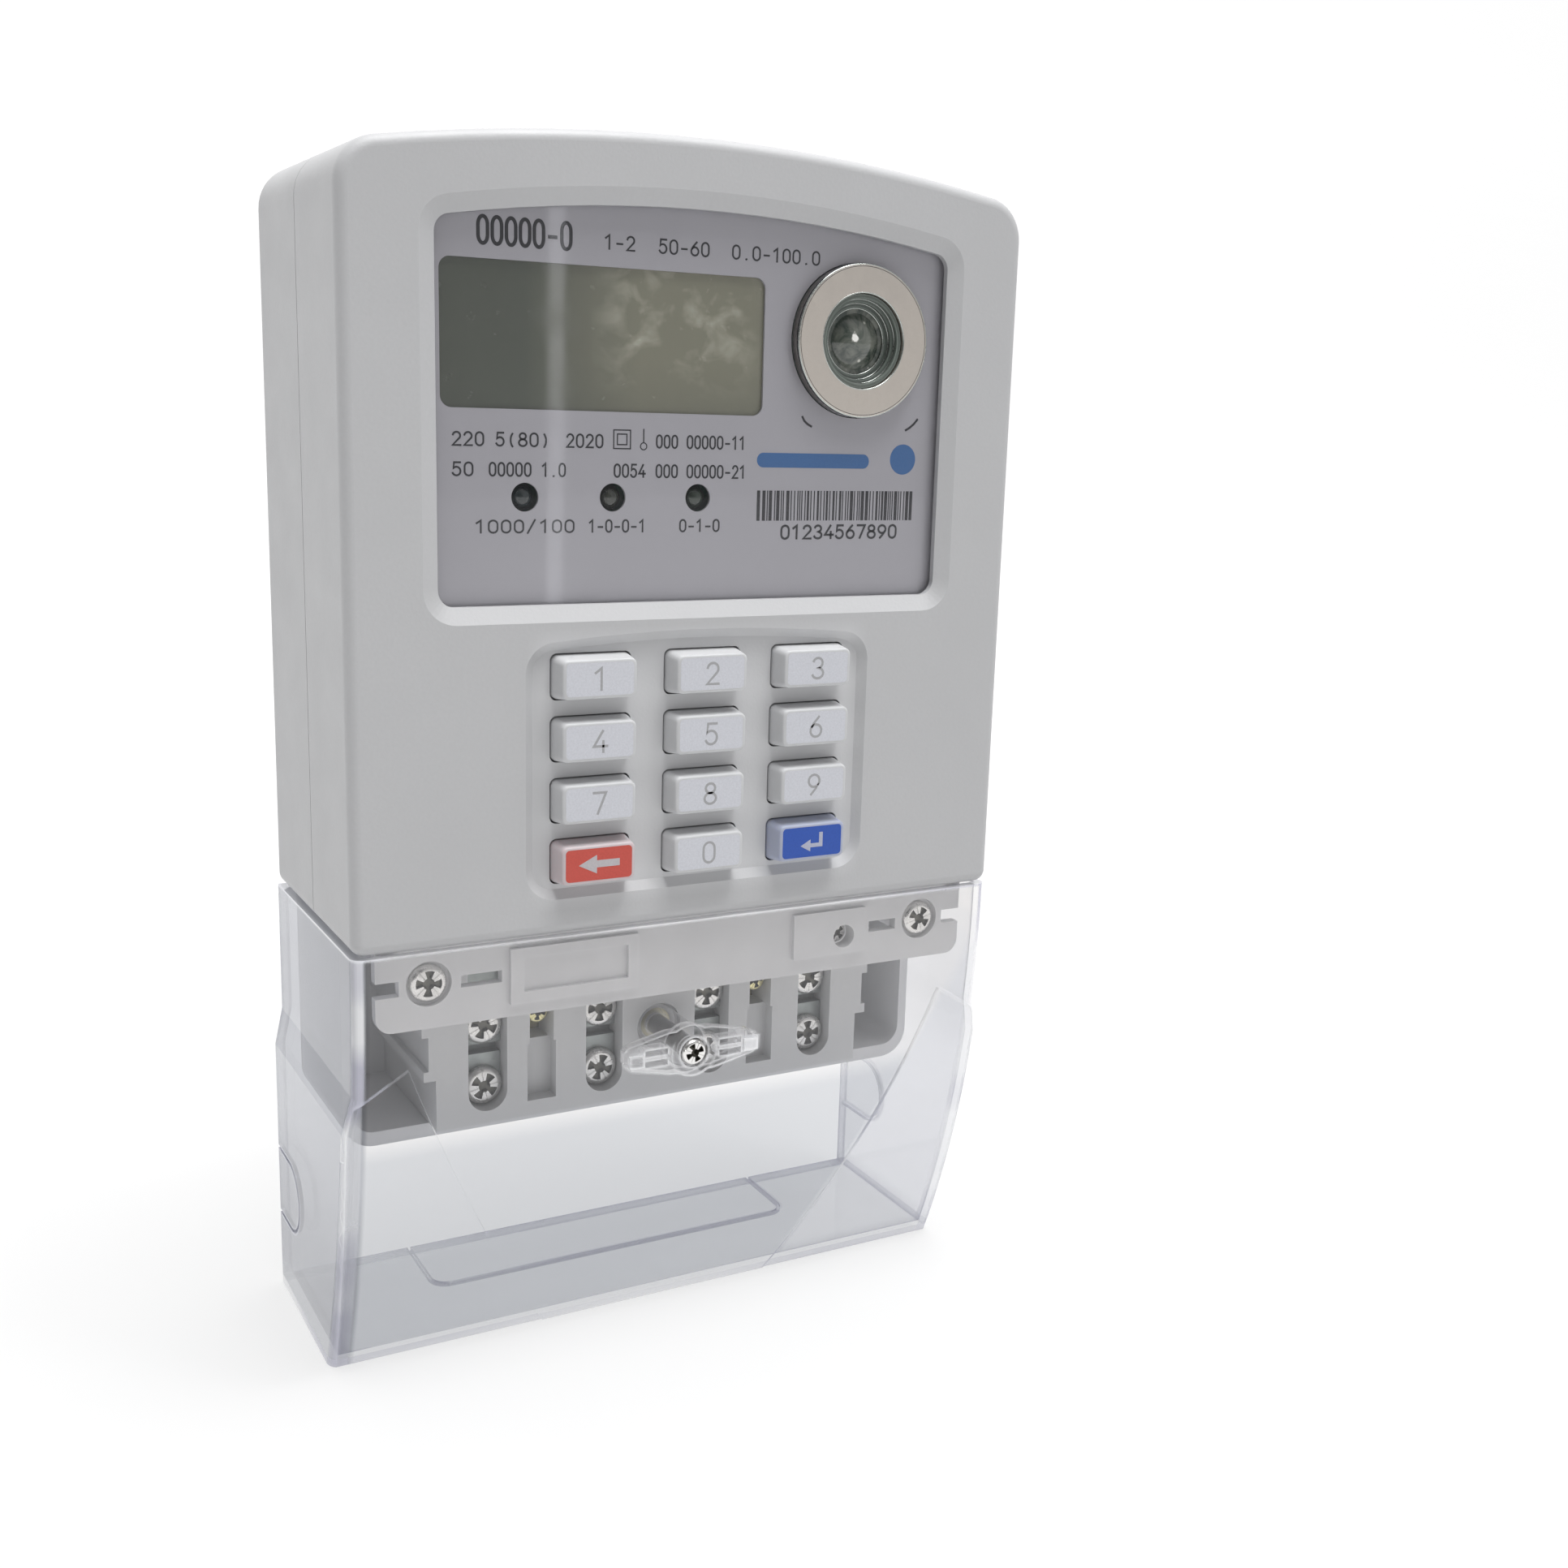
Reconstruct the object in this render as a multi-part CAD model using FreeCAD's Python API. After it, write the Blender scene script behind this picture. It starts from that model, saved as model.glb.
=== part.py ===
"""Single-phase prepaid electricity meter with keypad, optical port and long clear terminal cover.

Millimetres.  X runs to the right of a person who faces the meter, Y runs into the wall and
Z runs up.  The origin is under the middle of the meter, on the surface it stands on.
"""

import FreeCAD, Part
import math
import os
from FreeCAD import Vector

# ---------------------------------------------------------------- driving dimensions
# Depth stations, from the key tops to the wall.
KEY_TOP_Y = -29.25
FACE_Y = -26.05
PANE_Y = -24.75
CASE_RIM_Y = 0.6
BASE_RIM_Y = 0.9
BACK_Y = 29.25

# Case: arched top, straight sides.
CASE_HALF_WIDTH = 67.0
CASE_BOTTOM = 87.0
CASE_TOP = 228.5
CASE_ARCH_RADIUS = 367.0
CASE_CORNER_RADIUS = 8.0
CASE_FOOT_RADIUS = 2.5
CASE_WALL = 2.5
CASE_EDGE_ROUNDING = 2.0

# Window in the case, its pane and the plate behind it.
WINDOW_HALF_WIDTH = 50.6
WINDOW_BOTTOM = 147.5
WINDOW_TOP = 216.5
WINDOW_ARCH_RADIUS = 280.0
WINDOW_CORNER_RADIUS = 3.0
WINDOW_BEVEL = 3.0
PANE_GAP = 0.15
PANE_LIP = 2.0
PANE_BACK_Y = -22.75
LABEL_FRONT_Y = -22.65
LABEL_BACK_Y = -22.15

# Display.
DISPLAY_LEFT = -49.2
DISPLAY_RIGHT = 12.35
DISPLAY_BOTTOM = 181.2
DISPLAY_TOP = 205.8
DISPLAY_MARGIN = 1.5
DISPLAY_FRONT_Y = -22.05
DISPLAY_BACK_Y = -19.85

# Indicator lamps.
LAMP_X = {"lamp_pulse": -34.1, "lamp_warning": -17.5, "lamp_credit": -0.6}
LAMP_Z = 166.2
LAMP_RADIUS = 2.3
LAMP_HOLE_RADIUS = 2.5

# Optical port.
PORT_X = 32.3
PORT_Z = 195.5
PORT_RING_OUTER_RADIUS = 14.0
PORT_RING_INNER_RADIUS = 8.7
PORT_WELL_STEPS = ((7.8, 1.6), (7.1, 2.7))
PORT_TUBE_BORE_RADIUS = 6.2
PORT_LENS_RADIUS = 6.1
PORT_LENS_DEPTH = 3.1
PORT_LENS_RISE = 1.9
PORT_LENS_BULGE_RADIUS = 8.0
DIODE_OFFSET = 2.9
DIODE_RADIUS = 1.5
DIODE_HEIGHT = 2.0

# Keypad.
KEY_PITCH_X = 22.35
KEY_PITCH_Z = 11.34
KEY_TOP_ROW_Z = 134.6
KEY_WIDTH = 15.3
KEY_HEIGHT = 8.0
KEY_CLEARANCE = 0.25
KEY_CORNER_RADIUS = 1.3
KEY_TAPER = 0.45
KEYPAD_HALF_WIDTH = 33.6
KEYPAD_BOTTOM = 95.4
KEYPAD_TOP = 140.8
KEYPAD_ARCH_RADIUS = 300.0
KEYPAD_CORNER_RADIUS = 4.0
KEYPAD_BEVEL = 1.7
KEY_NAMES = (
    ("key_1", "key_2", "key_3"),
    ("key_4", "key_5", "key_6"),
    ("key_7", "key_8", "key_9"),
    ("key_delete", "key_0", "key_enter"),
)

# Boards.
DISPLAY_BOARD_FRONT_Y = -18.5
BOARD_THICKNESS = 1.6
MAIN_BOARD_FRONT_Y = 20.0
BOARD_HALF_WIDTH = 59.5
BOARD_BOTTOM = 93.0
BOARD_TOP = 214.0
BOARD_SCREW_X = 56.5
BOARD_SCREW_Z = (97.5, 209.5)
BOARD_HOLE_RADIUS = 1.6
BOARD_SCREW_RADIUS = 1.1
BOARD_SCREW_HEAD_RADIUS = 2.3
BOARD_SCREW_HEAD_DEPTH = 1.4
BOARD_THREAD_RADIUS = 1.15
BOARD_POST_RADIUS = 3.0
BOARD_SPACER_RADIUS = 2.8

# What is on the boards: left, right, bottom, top, with depths where they differ.
TRANSFORMER = (18.0, 50.0, 164.0, 194.0)
TRANSFORMER_FRONT_Y = -3.0
RELAY = (-44.0, -4.0, 100.0, 134.0)
RELAY_FRONT_Y = -2.0
RELAY_STEP = (-41.0, -7.0, 104.0, 130.0)
CAPACITOR_X = (-4.0, 8.0)
CAPACITOR_Z = 180.0
CAPACITOR_RADIUS = 5.0
CAPACITOR_FRONT_Y = 2.0
VARISTOR_YZ = (13.0, 110.0)
VARISTOR_RADIUS = 6.8
VARISTOR_X = (8.0, 12.0)
BATTERY_YZ = (12.2, 150.0)
BATTERY_RADIUS = 7.2
BATTERY_X = (-45.0, -20.0)
BATTERY_CRADLE = (-44.0, -21.0, 145.0, 155.0)
CHIP_HEIGHT = 1.6
CHIPS = (
    (-14.0, -4.0, 142.0, 152.0),
    (20.0, 34.0, 132.0, 146.0),
    (40.0, 48.0, 140.0, 145.0),
    (-40.0, -32.0, 170.0, 175.0),
)
LINK_BOARD = (4.0, 22.0, 154.0, 155.2)
BUZZER_XZ = (34.0, 112.0)
BUZZER_RADIUS = 6.0
BUZZER_HEIGHT = 8.5
SHUNT_X = (-40.4, -32.4)
SHUNT_Y = (6.0, 9.0)
SHUNT_Z = ((92.0, 94.6), (97.4, 100.0))
BAR_HALF_WIDTH = 3.0
BAR_Y = (6.4, 8.6)
BRIDGE_Z = (90.0, 96.0)
LINE_IN_BAR_TOP = 92.0
LINE_OUT_BAR_TOP = 100.0
NEUTRAL_BAR_TOP = 91.0

# Tongue plate that hangs from the case and carries the case screws.
TONGUE_HALF_WIDTH = 62.3
TONGUE_BOTTOM = 71.3
TONGUE_FRONT_Y = -22.85
TONGUE_BACK_Y = -20.6
CASE_SCREW_X = 52.5
CASE_SCREW_Z = 79.7
SERVICE_SCREW_X = 33.8
SERVICE_SCREW_Z = 78.4
SERVICE_SCREW_DEPTH = 1.7
TONGUE_FRAME_PROUD = 0.9
TONGUE_LABEL_FRAME = (-37.3, -11.7, 73.8, 84.5)
TONGUE_LABEL_RECESS = (-34.7, -13.8, 76.0, 82.5)
TONGUE_SERVICE_PAD = (22.2, 38.8, 74.7, 84.0)
TONGUE_SLOTS_X = ((-46.5, -38.7), (40.2, 46.6))
TONGUE_SLOTS_Z = (78.2, 80.5)
TONGUE_NOTCH_X = (58.0, 63.0)
TONGUE_NOTCH_Z = (78.0, 80.9)
CASE_SCREW_SEAT_RADIUS = 4.25
CASE_SCREW_SEAT_DEPTH = 1.4
CASE_SCREW_HOLE_RADIUS = 1.95
SERVICE_HOLE_RADIUS = 2.4
TONGUE_TAB_X = (58.6, 62.0)
TONGUE_TAB_Z = (85.2, 86.1)
TONGUE_TAB_PROUD = 0.6

# Terminal tray of the base.
TRAY_HALF_WIDTH = 63.4
TRAY_BOTTOM = 41.5
TRAY_RIM_Y = -3.0
TRAY_WALL = 2.0
TRAY_CORNER_RADIUS = 6.0
TRAY_FLOOR = 2.8
WIRE_WINDOW_HALF_WIDTH = 43.0
WIRE_WINDOW_FRONT_Y = 0.6
WIRE_WINDOW_BACK_Y = 13.6

# Terminal block.
BLOCK_FRONT_Y = -8.25
BLOCK_BACK_Y = 26.6
BLOCK_BOTTOM = 44.5
BLOCK_TOP = 86.8
BLOCK_SPLIT_Y = 0.0
BLOCK_SIDE_X = 46.8
BLOCK_SIDE_STEPS = (
    (0.0, BLOCK_BOTTOM), (0.0, 54.9), (2.4, 54.9), (2.4, 56.9), (1.4, 56.9),
    (1.4, 63.8), (2.7, 63.8), (2.7, 74.0), (0.6, 74.0), (0.6, BLOCK_TOP),
)
MAIN_TERMINALS = {
    "terminal_line_in": -36.4,
    "terminal_line_out": -12.0,
    "terminal_neutral_in": 12.0,
    "terminal_neutral_out": 36.4,
}
AUX_TERMINAL_X = (-25.3, 23.3)
MAIN_SCREW_Z = (51.3, 63.8)
MAIN_SCREW_RADIUS = 3.8
MAIN_SCREW_FRONT_Y = -6.2
MAIN_SCREW_HEAD_DEPTH = 1.7
MAIN_SCREW_TIP_Y = 2.7
MAIN_SLOT_HALF_WIDTH = 3.95
MAIN_SLOT_BOTTOM = 47.0
CLAMP_FACE_Y = -4.4
CLAMP_FACE_GAP = 0.1
CLAMP_GROOVE_BOTTOM = 57.6
CLAMP_GROOVE_TOP = 59.6
CLAMP_GROOVE_DEPTH = 2.6
CLAMP_HALF_WIDTH = 4.7
CLAMP_BACK_Y = 14.0
CLAMP_BOTTOM = 46.1
WIRE_BORE_RADIUS = 4.2
WIRE_BORE_Y = 7.0
WIRE_BORE_TOP = 74.0
CLAMP_ABOVE_BORE = 4.0
AUX_SCREW_Z = 64.9
AUX_SCREW_RADIUS = 2.25
AUX_SCREW_FRONT_Y = -6.2
AUX_SCREW_HEAD_DEPTH = 1.7
AUX_FOOT_DEPTH = 3.2
AUX_BORE_RADIUS = 1.6
AUX_BORE_Y = 4.0
AUX_FOOT_HALF_WIDTH = 3.0
AUX_SLOT_HALF_WIDTH = 2.5
AUX_SLOT_BOTTOM = 47.6
AUX_SLOT_STEP_Z = 59.5
AUX_CLAMP_HALF_WIDTH = 2.6
AUX_CLAMP_BACK_Y = 8.0
INSERT_RADIUS = 3.25

# Wall fixing.
FIXING_HOLE_X = 55.5
FIXING_HOLE_Z = 52.0
FIXING_HOLE_RADIUS = 2.5
HANGER_Z = 208.0
HANGER_ENTRY_RADIUS = 4.5
HANGER_SLOT_RADIUS = 2.3
HANGER_THICKNESS = 1.2

# Clear terminal cover.
COVER_TOP = 86.6
COVER_HALF_WIDTH = 67.0
COVER_FLARED_HALF_WIDTH = 68.6
COVER_FLARE_TOP = 60.5
COVER_FLARE_BOTTOM = 53.0
COVER_WALL = 1.9
COVER_SWEEP_RADIUS = 225.0
COVER_SWEEP_CENTRE_Z = 86.0
COVER_CORNER_RADIUS = 2.5
COVER_SCREW_Z = 59.1
BOSS_RADIUS = 4.3
COVER_SCREW_RADIUS = 2.0
COVER_SCREW_HOLE_RADIUS = 2.15
COVER_SCREW_HEAD_RADIUS = 2.7
COVER_SCREW_HEAD_FRONT_Y = -25.2
COVER_SCREW_HEAD_BACK_Y = -22.9
COVER_SCREW_TIP_Y = 0.75
BOSS_SEAT_DEPTH = 1.6
INSERT_BACK_Y = 1.75

FAR = 400.0
parts = {}


# ---------------------------------------------------------------- helpers
def box(x0, x1, y0, y1, z0, z1):
    """Box between two corners."""
    return Part.makeBox(x1 - x0, y1 - y0, z1 - z0, Vector(x0, y0, z0))


def rod_y(x, z, radius, y0, y1):
    """Round bar along Y."""
    return Part.makeCylinder(radius, y1 - y0, Vector(x, y0, z), Vector(0, 1, 0))


def rod_z(x, y, radius, z0, z1):
    """Round bar along Z."""
    return Part.makeCylinder(radius, z1 - z0, Vector(x, y, z0), Vector(0, 0, 1))


def rod_x(y, z, radius, x0, x1):
    """Round bar along X."""
    return Part.makeCylinder(radius, x1 - x0, Vector(x0, y, z), Vector(1, 0, 0))


def corner_arc(centre_x, centre_z, radius, start_degrees, y):
    """Quarter circle in a plane of constant Y, counter-clockwise seen from the front."""
    points = []
    for angle in (start_degrees, start_degrees + 45, start_degrees + 90):
        turn = math.radians(angle)
        points.append(Vector(centre_x + radius * math.cos(turn), y, centre_z + radius * math.sin(turn)))
    return Part.Arc(*points).toShape()


def line(x0, z0, x1, z1, y):
    """Straight edge in a plane of constant Y."""
    return Part.LineSegment(Vector(x0, y, z0), Vector(x1, y, z1)).toShape()


def rounded_rectangle(x0, x1, z0, z1, radius, y):
    """Wire of a rectangle with round corners in a plane of constant Y."""
    return Part.Wire([
        line(x0 + radius, z0, x1 - radius, z0, y),
        corner_arc(x1 - radius, z0 + radius, radius, -90, y),
        line(x1, z0 + radius, x1, z1 - radius, y),
        corner_arc(x1 - radius, z1 - radius, radius, 0, y),
        line(x1 - radius, z1, x0 + radius, z1, y),
        corner_arc(x0 + radius, z1 - radius, radius, 90, y),
        line(x0, z1 - radius, x0, z0 + radius, y),
        corner_arc(x0 + radius, z0 + radius, radius, 180, y),
    ])


def arched_outline(half_width, bottom, top, arch_radius, corner_radius, foot_radius, y, grow=0.0):
    """Wire with straight sides, an arched top and round corners, grown outwards by grow."""
    w = half_width + grow
    z0 = bottom - grow
    arch = arch_radius + grow
    corner = max(corner_radius + grow, 0.3)
    foot = max(foot_radius + grow, 0.3)
    centre_z = top + grow - arch
    fillet_x = w - corner
    fillet_z = centre_z + math.sqrt((arch - corner) ** 2 - fillet_x ** 2)
    reach = arch / (arch - corner)
    arch_x = fillet_x * reach
    arch_z = centre_z + (fillet_z - centre_z) * reach
    lean = math.atan2(fillet_z - centre_z, fillet_x) / 2
    mid_x = fillet_x + corner * math.cos(lean)
    mid_z = fillet_z + corner * math.sin(lean)
    right_corner = Part.Arc(
        Vector(w, y, fillet_z), Vector(mid_x, y, mid_z), Vector(arch_x, y, arch_z)).toShape()
    crown = Part.Arc(
        Vector(arch_x, y, arch_z), Vector(0, y, centre_z + arch), Vector(-arch_x, y, arch_z)).toShape()
    left_corner = Part.Arc(
        Vector(-arch_x, y, arch_z), Vector(-mid_x, y, mid_z), Vector(-w, y, fillet_z)).toShape()
    return Part.Wire([
        line(-w + foot, z0, w - foot, z0, y),
        corner_arc(w - foot, z0 + foot, foot, -90, y),
        line(w, z0 + foot, w, fillet_z, y),
        right_corner,
        crown,
        left_corner,
        line(-w, fillet_z, -w, z0 + foot, y),
        corner_arc(-w + foot, z0 + foot, foot, 180, y),
    ])


def extrude_y(wire, y1):
    """Prism from a wire in a plane of constant Y to the plane at y1."""
    y0 = wire.Vertexes[0].Point.y
    return Part.Face(wire).extrude(Vector(0, y1 - y0, 0))


def frustum(near, far):
    """Ruled solid between two like wires."""
    return Part.makeLoft([near, far], True, True)


def polygon(points, y):
    """Closed wire through (x, z) points in a plane of constant Y."""
    corners = [Vector(x, y, z) for x, z in points]
    return Part.makePolygon(corners + [corners[0]])


def edges_at_y(shape, y):
    """Edges that lie in the plane at y."""
    found = []
    for edge in shape.Edges:
        if all(abs(v.Point.y - y) < 0.001 for v in edge.Vertexes):
            if abs(edge.valueAt((edge.FirstParameter + edge.LastParameter) / 2).y - y) < 0.001:
                found.append(edge)
    return found


def fuse(shapes):
    """One solid from several that overlap."""
    first = shapes[0]
    return first.multiFuse(shapes[1:]).removeSplitter() if len(shapes) > 1 else first


def cut(shape, tools):
    """Shape with all tools taken away."""
    return shape.cut(Part.makeCompound(tools)) if tools else shape


def case_outline(y, grow=0.0):
    return arched_outline(CASE_HALF_WIDTH, CASE_BOTTOM, CASE_TOP, CASE_ARCH_RADIUS,
                          CASE_CORNER_RADIUS, CASE_FOOT_RADIUS, y, grow)


def window_outline(y, grow=0.0):
    return arched_outline(WINDOW_HALF_WIDTH, WINDOW_BOTTOM, WINDOW_TOP, WINDOW_ARCH_RADIUS,
                          WINDOW_CORNER_RADIUS, WINDOW_CORNER_RADIUS, y, grow)


def keypad_outline(y, grow=0.0):
    return arched_outline(KEYPAD_HALF_WIDTH, KEYPAD_BOTTOM, KEYPAD_TOP, KEYPAD_ARCH_RADIUS,
                          KEYPAD_CORNER_RADIUS, KEYPAD_CORNER_RADIUS, y, grow)


def key_places():
    """Name and centre of each key."""
    for row, names in enumerate(KEY_NAMES):
        for column, name in enumerate(names):
            yield name, (column - 1) * KEY_PITCH_X, KEY_TOP_ROW_Z - row * KEY_PITCH_Z


def key_outline(x, z, y, grow):
    """Rounded rectangle of a key, grown by grow on every side."""
    w = KEY_WIDTH / 2 + grow
    h = KEY_HEIGHT / 2 + grow
    return rounded_rectangle(x - w, x + w, z - h, z + h, KEY_CORNER_RADIUS, y)


def cross_recess(x, z, y, width, length, depth):
    """Cross-shaped driver recess, cut from the plane at y inwards."""
    half = length / 2
    thin = width / 2
    flat = box(x - half, x + half, y - 1, y + depth, z - thin, z + thin)
    upright = box(x - thin, x + thin, y - 1, y + depth, z - half, z + half)
    return [flat, upright]


def pan_screw(x, z, front_y, head_radius, head_depth, shank_radius, tip_y, slot_width):
    """Screw with a rounded pan head and a cross recess, driven towards +Y."""
    head = rod_y(x, z, head_radius, front_y, front_y + head_depth)
    head = head.makeFillet(head_depth * 0.35, edges_at_y(head, front_y))
    shank = rod_y(x, z, shank_radius, front_y + head_depth - 0.1, tip_y)
    tools = cross_recess(x, z, front_y, slot_width, head_radius * 1.35, head_depth * 0.6)
    return cut(head.fuse(shank), tools)


def on_board(place, front_y, back_y=MAIN_BOARD_FRONT_Y, grow=0.0):
    """Block over a place (left, right, bottom, top) of a board, grown sideways by grow."""
    left, right, bottom, top = place
    return box(left - grow, right + grow, front_y, back_y, bottom - grow, top + grow)


# ---------------------------------------------------------------- case, pane and display
def make_front_case():
    shell = extrude_y(case_outline(FACE_Y), CASE_RIM_Y)
    shell = shell.makeFillet(CASE_EDGE_ROUNDING, edges_at_y(shell, FACE_Y))
    cavity = extrude_y(case_outline(FACE_Y + CASE_WALL, -CASE_WALL), CASE_RIM_Y + 1)
    shell = shell.cut(cavity)
    backing = extrude_y(keypad_outline(FACE_Y + CASE_WALL - 0.1, KEYPAD_BEVEL + 1.0), PANE_Y + 2.0)
    posts = []
    for x in (-BOARD_SCREW_X, BOARD_SCREW_X):
        for z in BOARD_SCREW_Z:
            posts.append(rod_y(x, z, BOARD_POST_RADIUS, FACE_Y + CASE_WALL - 0.1, DISPLAY_BOARD_FRONT_Y))
    tongue = make_tongue()
    shell = fuse([shell, backing, tongue] + posts)
    bevel = frustum(window_outline(FACE_Y - 0.01, WINDOW_BEVEL), window_outline(PANE_Y, 0.0))
    opening = extrude_y(window_outline(FACE_Y - 1), PANE_BACK_Y + 3)
    recess = frustum(keypad_outline(FACE_Y - 0.01, KEYPAD_BEVEL), keypad_outline(PANE_Y, 0.0))
    tools = [bevel, opening, recess]
    for _, x, z in key_places():
        tools.append(extrude_y(key_outline(x, z, FACE_Y - 1, KEY_CLEARANCE), PANE_Y + 4))
    for x in (-BOARD_SCREW_X, BOARD_SCREW_X):
        for z in BOARD_SCREW_Z:
            tools.append(rod_y(x, z, BOARD_THREAD_RADIUS, DISPLAY_BOARD_FRONT_Y - 4,
                               DISPLAY_BOARD_FRONT_Y + 1))
    return cut(shell, tools)


def make_tongue():
    """Plate below the case with the screw seats, slots, label frame, service pad and corner tabs."""
    plate = extrude_y(rounded_rectangle(-TONGUE_HALF_WIDTH, TONGUE_HALF_WIDTH, TONGUE_BOTTOM,
                                        CASE_BOTTOM + 6, 3.0, TONGUE_FRONT_Y), TONGUE_BACK_Y)
    before = TONGUE_FRONT_Y - 1
    behind = TONGUE_BACK_Y + 1
    root_y = TONGUE_FRONT_Y + 0.1
    frame_front_y = TONGUE_FRONT_Y - TONGUE_FRAME_PROUD
    frame = on_board(TONGUE_LABEL_FRAME, frame_front_y, root_y)
    frame = frame.cut(on_board(TONGUE_LABEL_RECESS, frame_front_y - 1, TONGUE_FRONT_Y))
    raised = [frame, on_board(TONGUE_SERVICE_PAD, frame_front_y, root_y)]
    tools = [box(*x, before, behind, *TONGUE_SLOTS_Z) for x in TONGUE_SLOTS_X]
    tools.append(rod_y(SERVICE_SCREW_X, SERVICE_SCREW_Z, SERVICE_HOLE_RADIUS, frame_front_y - 1, behind))
    for side in (-1, 1):
        tab_x = sorted(side * x for x in TONGUE_TAB_X)
        raised.append(box(*tab_x, TONGUE_FRONT_Y - TONGUE_TAB_PROUD, root_y, *TONGUE_TAB_Z))
        notch_x = sorted(side * x for x in TONGUE_NOTCH_X)
        tools.append(box(*notch_x, before, behind, *TONGUE_NOTCH_Z))
        x = side * CASE_SCREW_X
        tools.append(rod_y(x, CASE_SCREW_Z, CASE_SCREW_SEAT_RADIUS, before,
                           TONGUE_FRONT_Y + CASE_SCREW_SEAT_DEPTH))
        tools.append(rod_y(x, CASE_SCREW_Z, CASE_SCREW_HOLE_RADIUS, TONGUE_FRONT_Y, behind))
    keep = box(-FAR, FAR, -FAR, FAR, 0, CASE_BOTTOM + 1.5)
    return cut(plate.multiFuse(raised).common(keep), tools)


def make_window_pane():
    plug = extrude_y(window_outline(PANE_Y, -PANE_GAP), PANE_BACK_Y)
    flange = extrude_y(window_outline(FACE_Y + CASE_WALL + 0.1, PANE_LIP), PANE_BACK_Y)
    hole = rod_y(PORT_X, PORT_Z, PORT_RING_OUTER_RADIUS + 0.15, PANE_Y - 1, PANE_BACK_Y + 1)
    return plug.fuse(flange).removeSplitter().cut(hole)


def make_label_plate():
    plate = extrude_y(window_outline(LABEL_FRONT_Y, 1.2), LABEL_BACK_Y)
    tools = [
        extrude_y(rounded_rectangle(DISPLAY_LEFT, DISPLAY_RIGHT, DISPLAY_BOTTOM, DISPLAY_TOP, 2.0,
                                    LABEL_FRONT_Y - 1), LABEL_BACK_Y + 1),
        rod_y(PORT_X, PORT_Z, PORT_RING_OUTER_RADIUS + 0.25, LABEL_FRONT_Y - 1, LABEL_BACK_Y + 1),
    ]
    for x in LAMP_X.values():
        tools.append(rod_y(x, LAMP_Z, LAMP_HOLE_RADIUS, LABEL_FRONT_Y - 1, LABEL_BACK_Y + 1))
    return cut(plate, tools)


def make_display_glass():
    m = DISPLAY_MARGIN
    return box(DISPLAY_LEFT - m, DISPLAY_RIGHT + m, DISPLAY_FRONT_Y, DISPLAY_BACK_Y,
               DISPLAY_BOTTOM - m, DISPLAY_TOP + m)


def make_display_light_guide():
    m = DISPLAY_MARGIN + 0.7
    plate = box(DISPLAY_LEFT - m, DISPLAY_RIGHT + m, DISPLAY_BACK_Y + 0.1, DISPLAY_BOARD_FRONT_Y - 0.1,
                DISPLAY_BOTTOM - m, DISPLAY_TOP + m)
    return plate.makeFillet(0.8, [e for e in plate.Edges if abs(e.tangentAt(0).y) > 0.9])


def make_lamp(x):
    dome_y = -20.0
    stem = rod_y(x, LAMP_Z, LAMP_RADIUS, dome_y, DISPLAY_BOARD_FRONT_Y)
    foot = rod_y(x, LAMP_Z, LAMP_RADIUS + 0.4, DISPLAY_BOARD_FRONT_Y - 0.6, DISPLAY_BOARD_FRONT_Y)
    ball = Part.makeSphere(LAMP_RADIUS, Vector(x, dome_y, LAMP_Z))
    dome = ball.common(box(x - 4, x + 4, dome_y - 4, dome_y + 0.1, LAMP_Z - 4, LAMP_Z + 4))
    return fuse([stem, dome, foot])


# ---------------------------------------------------------------- optical port
def make_port_ring():
    front_y = PANE_Y - 0.35
    back_y = LABEL_FRONT_Y - 0.05
    ring = rod_y(PORT_X, PORT_Z, PORT_RING_OUTER_RADIUS, front_y, back_y)
    ring = ring.cut(rod_y(PORT_X, PORT_Z, PORT_RING_INNER_RADIUS, front_y - 1, back_y + 1))
    return ring.makeFillet(0.3, edges_at_y(ring, front_y))


def make_port_well():
    flange = rod_y(PORT_X, PORT_Z, PORT_RING_OUTER_RADIUS, LABEL_FRONT_Y, LABEL_FRONT_Y + 1.0)
    tube = rod_y(PORT_X, PORT_Z, PORT_RING_INNER_RADIUS - 0.1, PANE_Y + 0.4, DISPLAY_BOARD_FRONT_Y)
    tools = [rod_y(PORT_X, PORT_Z, radius, PANE_Y - 1, PANE_Y + depth) for radius, depth in PORT_WELL_STEPS]
    tools.append(rod_y(PORT_X, PORT_Z, PORT_TUBE_BORE_RADIUS, PANE_Y - 1, DISPLAY_BOARD_FRONT_Y + 1))
    return cut(flange.fuse(tube), tools)


def make_port_lens():
    disc_front_y = PANE_Y + PORT_LENS_DEPTH
    disc = rod_y(PORT_X, PORT_Z, PORT_LENS_RADIUS, disc_front_y, disc_front_y + 1.0)
    centre_y = disc_front_y - PORT_LENS_RISE + PORT_LENS_BULGE_RADIUS
    ball = Part.makeSphere(PORT_LENS_BULGE_RADIUS, Vector(PORT_X, centre_y, PORT_Z))
    cap = ball.common(box(PORT_X - 9, PORT_X + 9, disc_front_y - 4, disc_front_y + 0.1,
                          PORT_Z - 9, PORT_Z + 9))
    return fuse([disc, cap])


def make_infrared_diodes():
    diodes = []
    for offset in (-DIODE_OFFSET, DIODE_OFFSET):
        x = PORT_X + offset
        front_y = DISPLAY_BOARD_FRONT_Y - DIODE_HEIGHT
        stem = rod_y(x, PORT_Z, DIODE_RADIUS, front_y, DISPLAY_BOARD_FRONT_Y)
        diodes.append(stem.makeFillet(0.7, edges_at_y(stem, front_y)))
    return Part.makeCompound(diodes)


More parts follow.
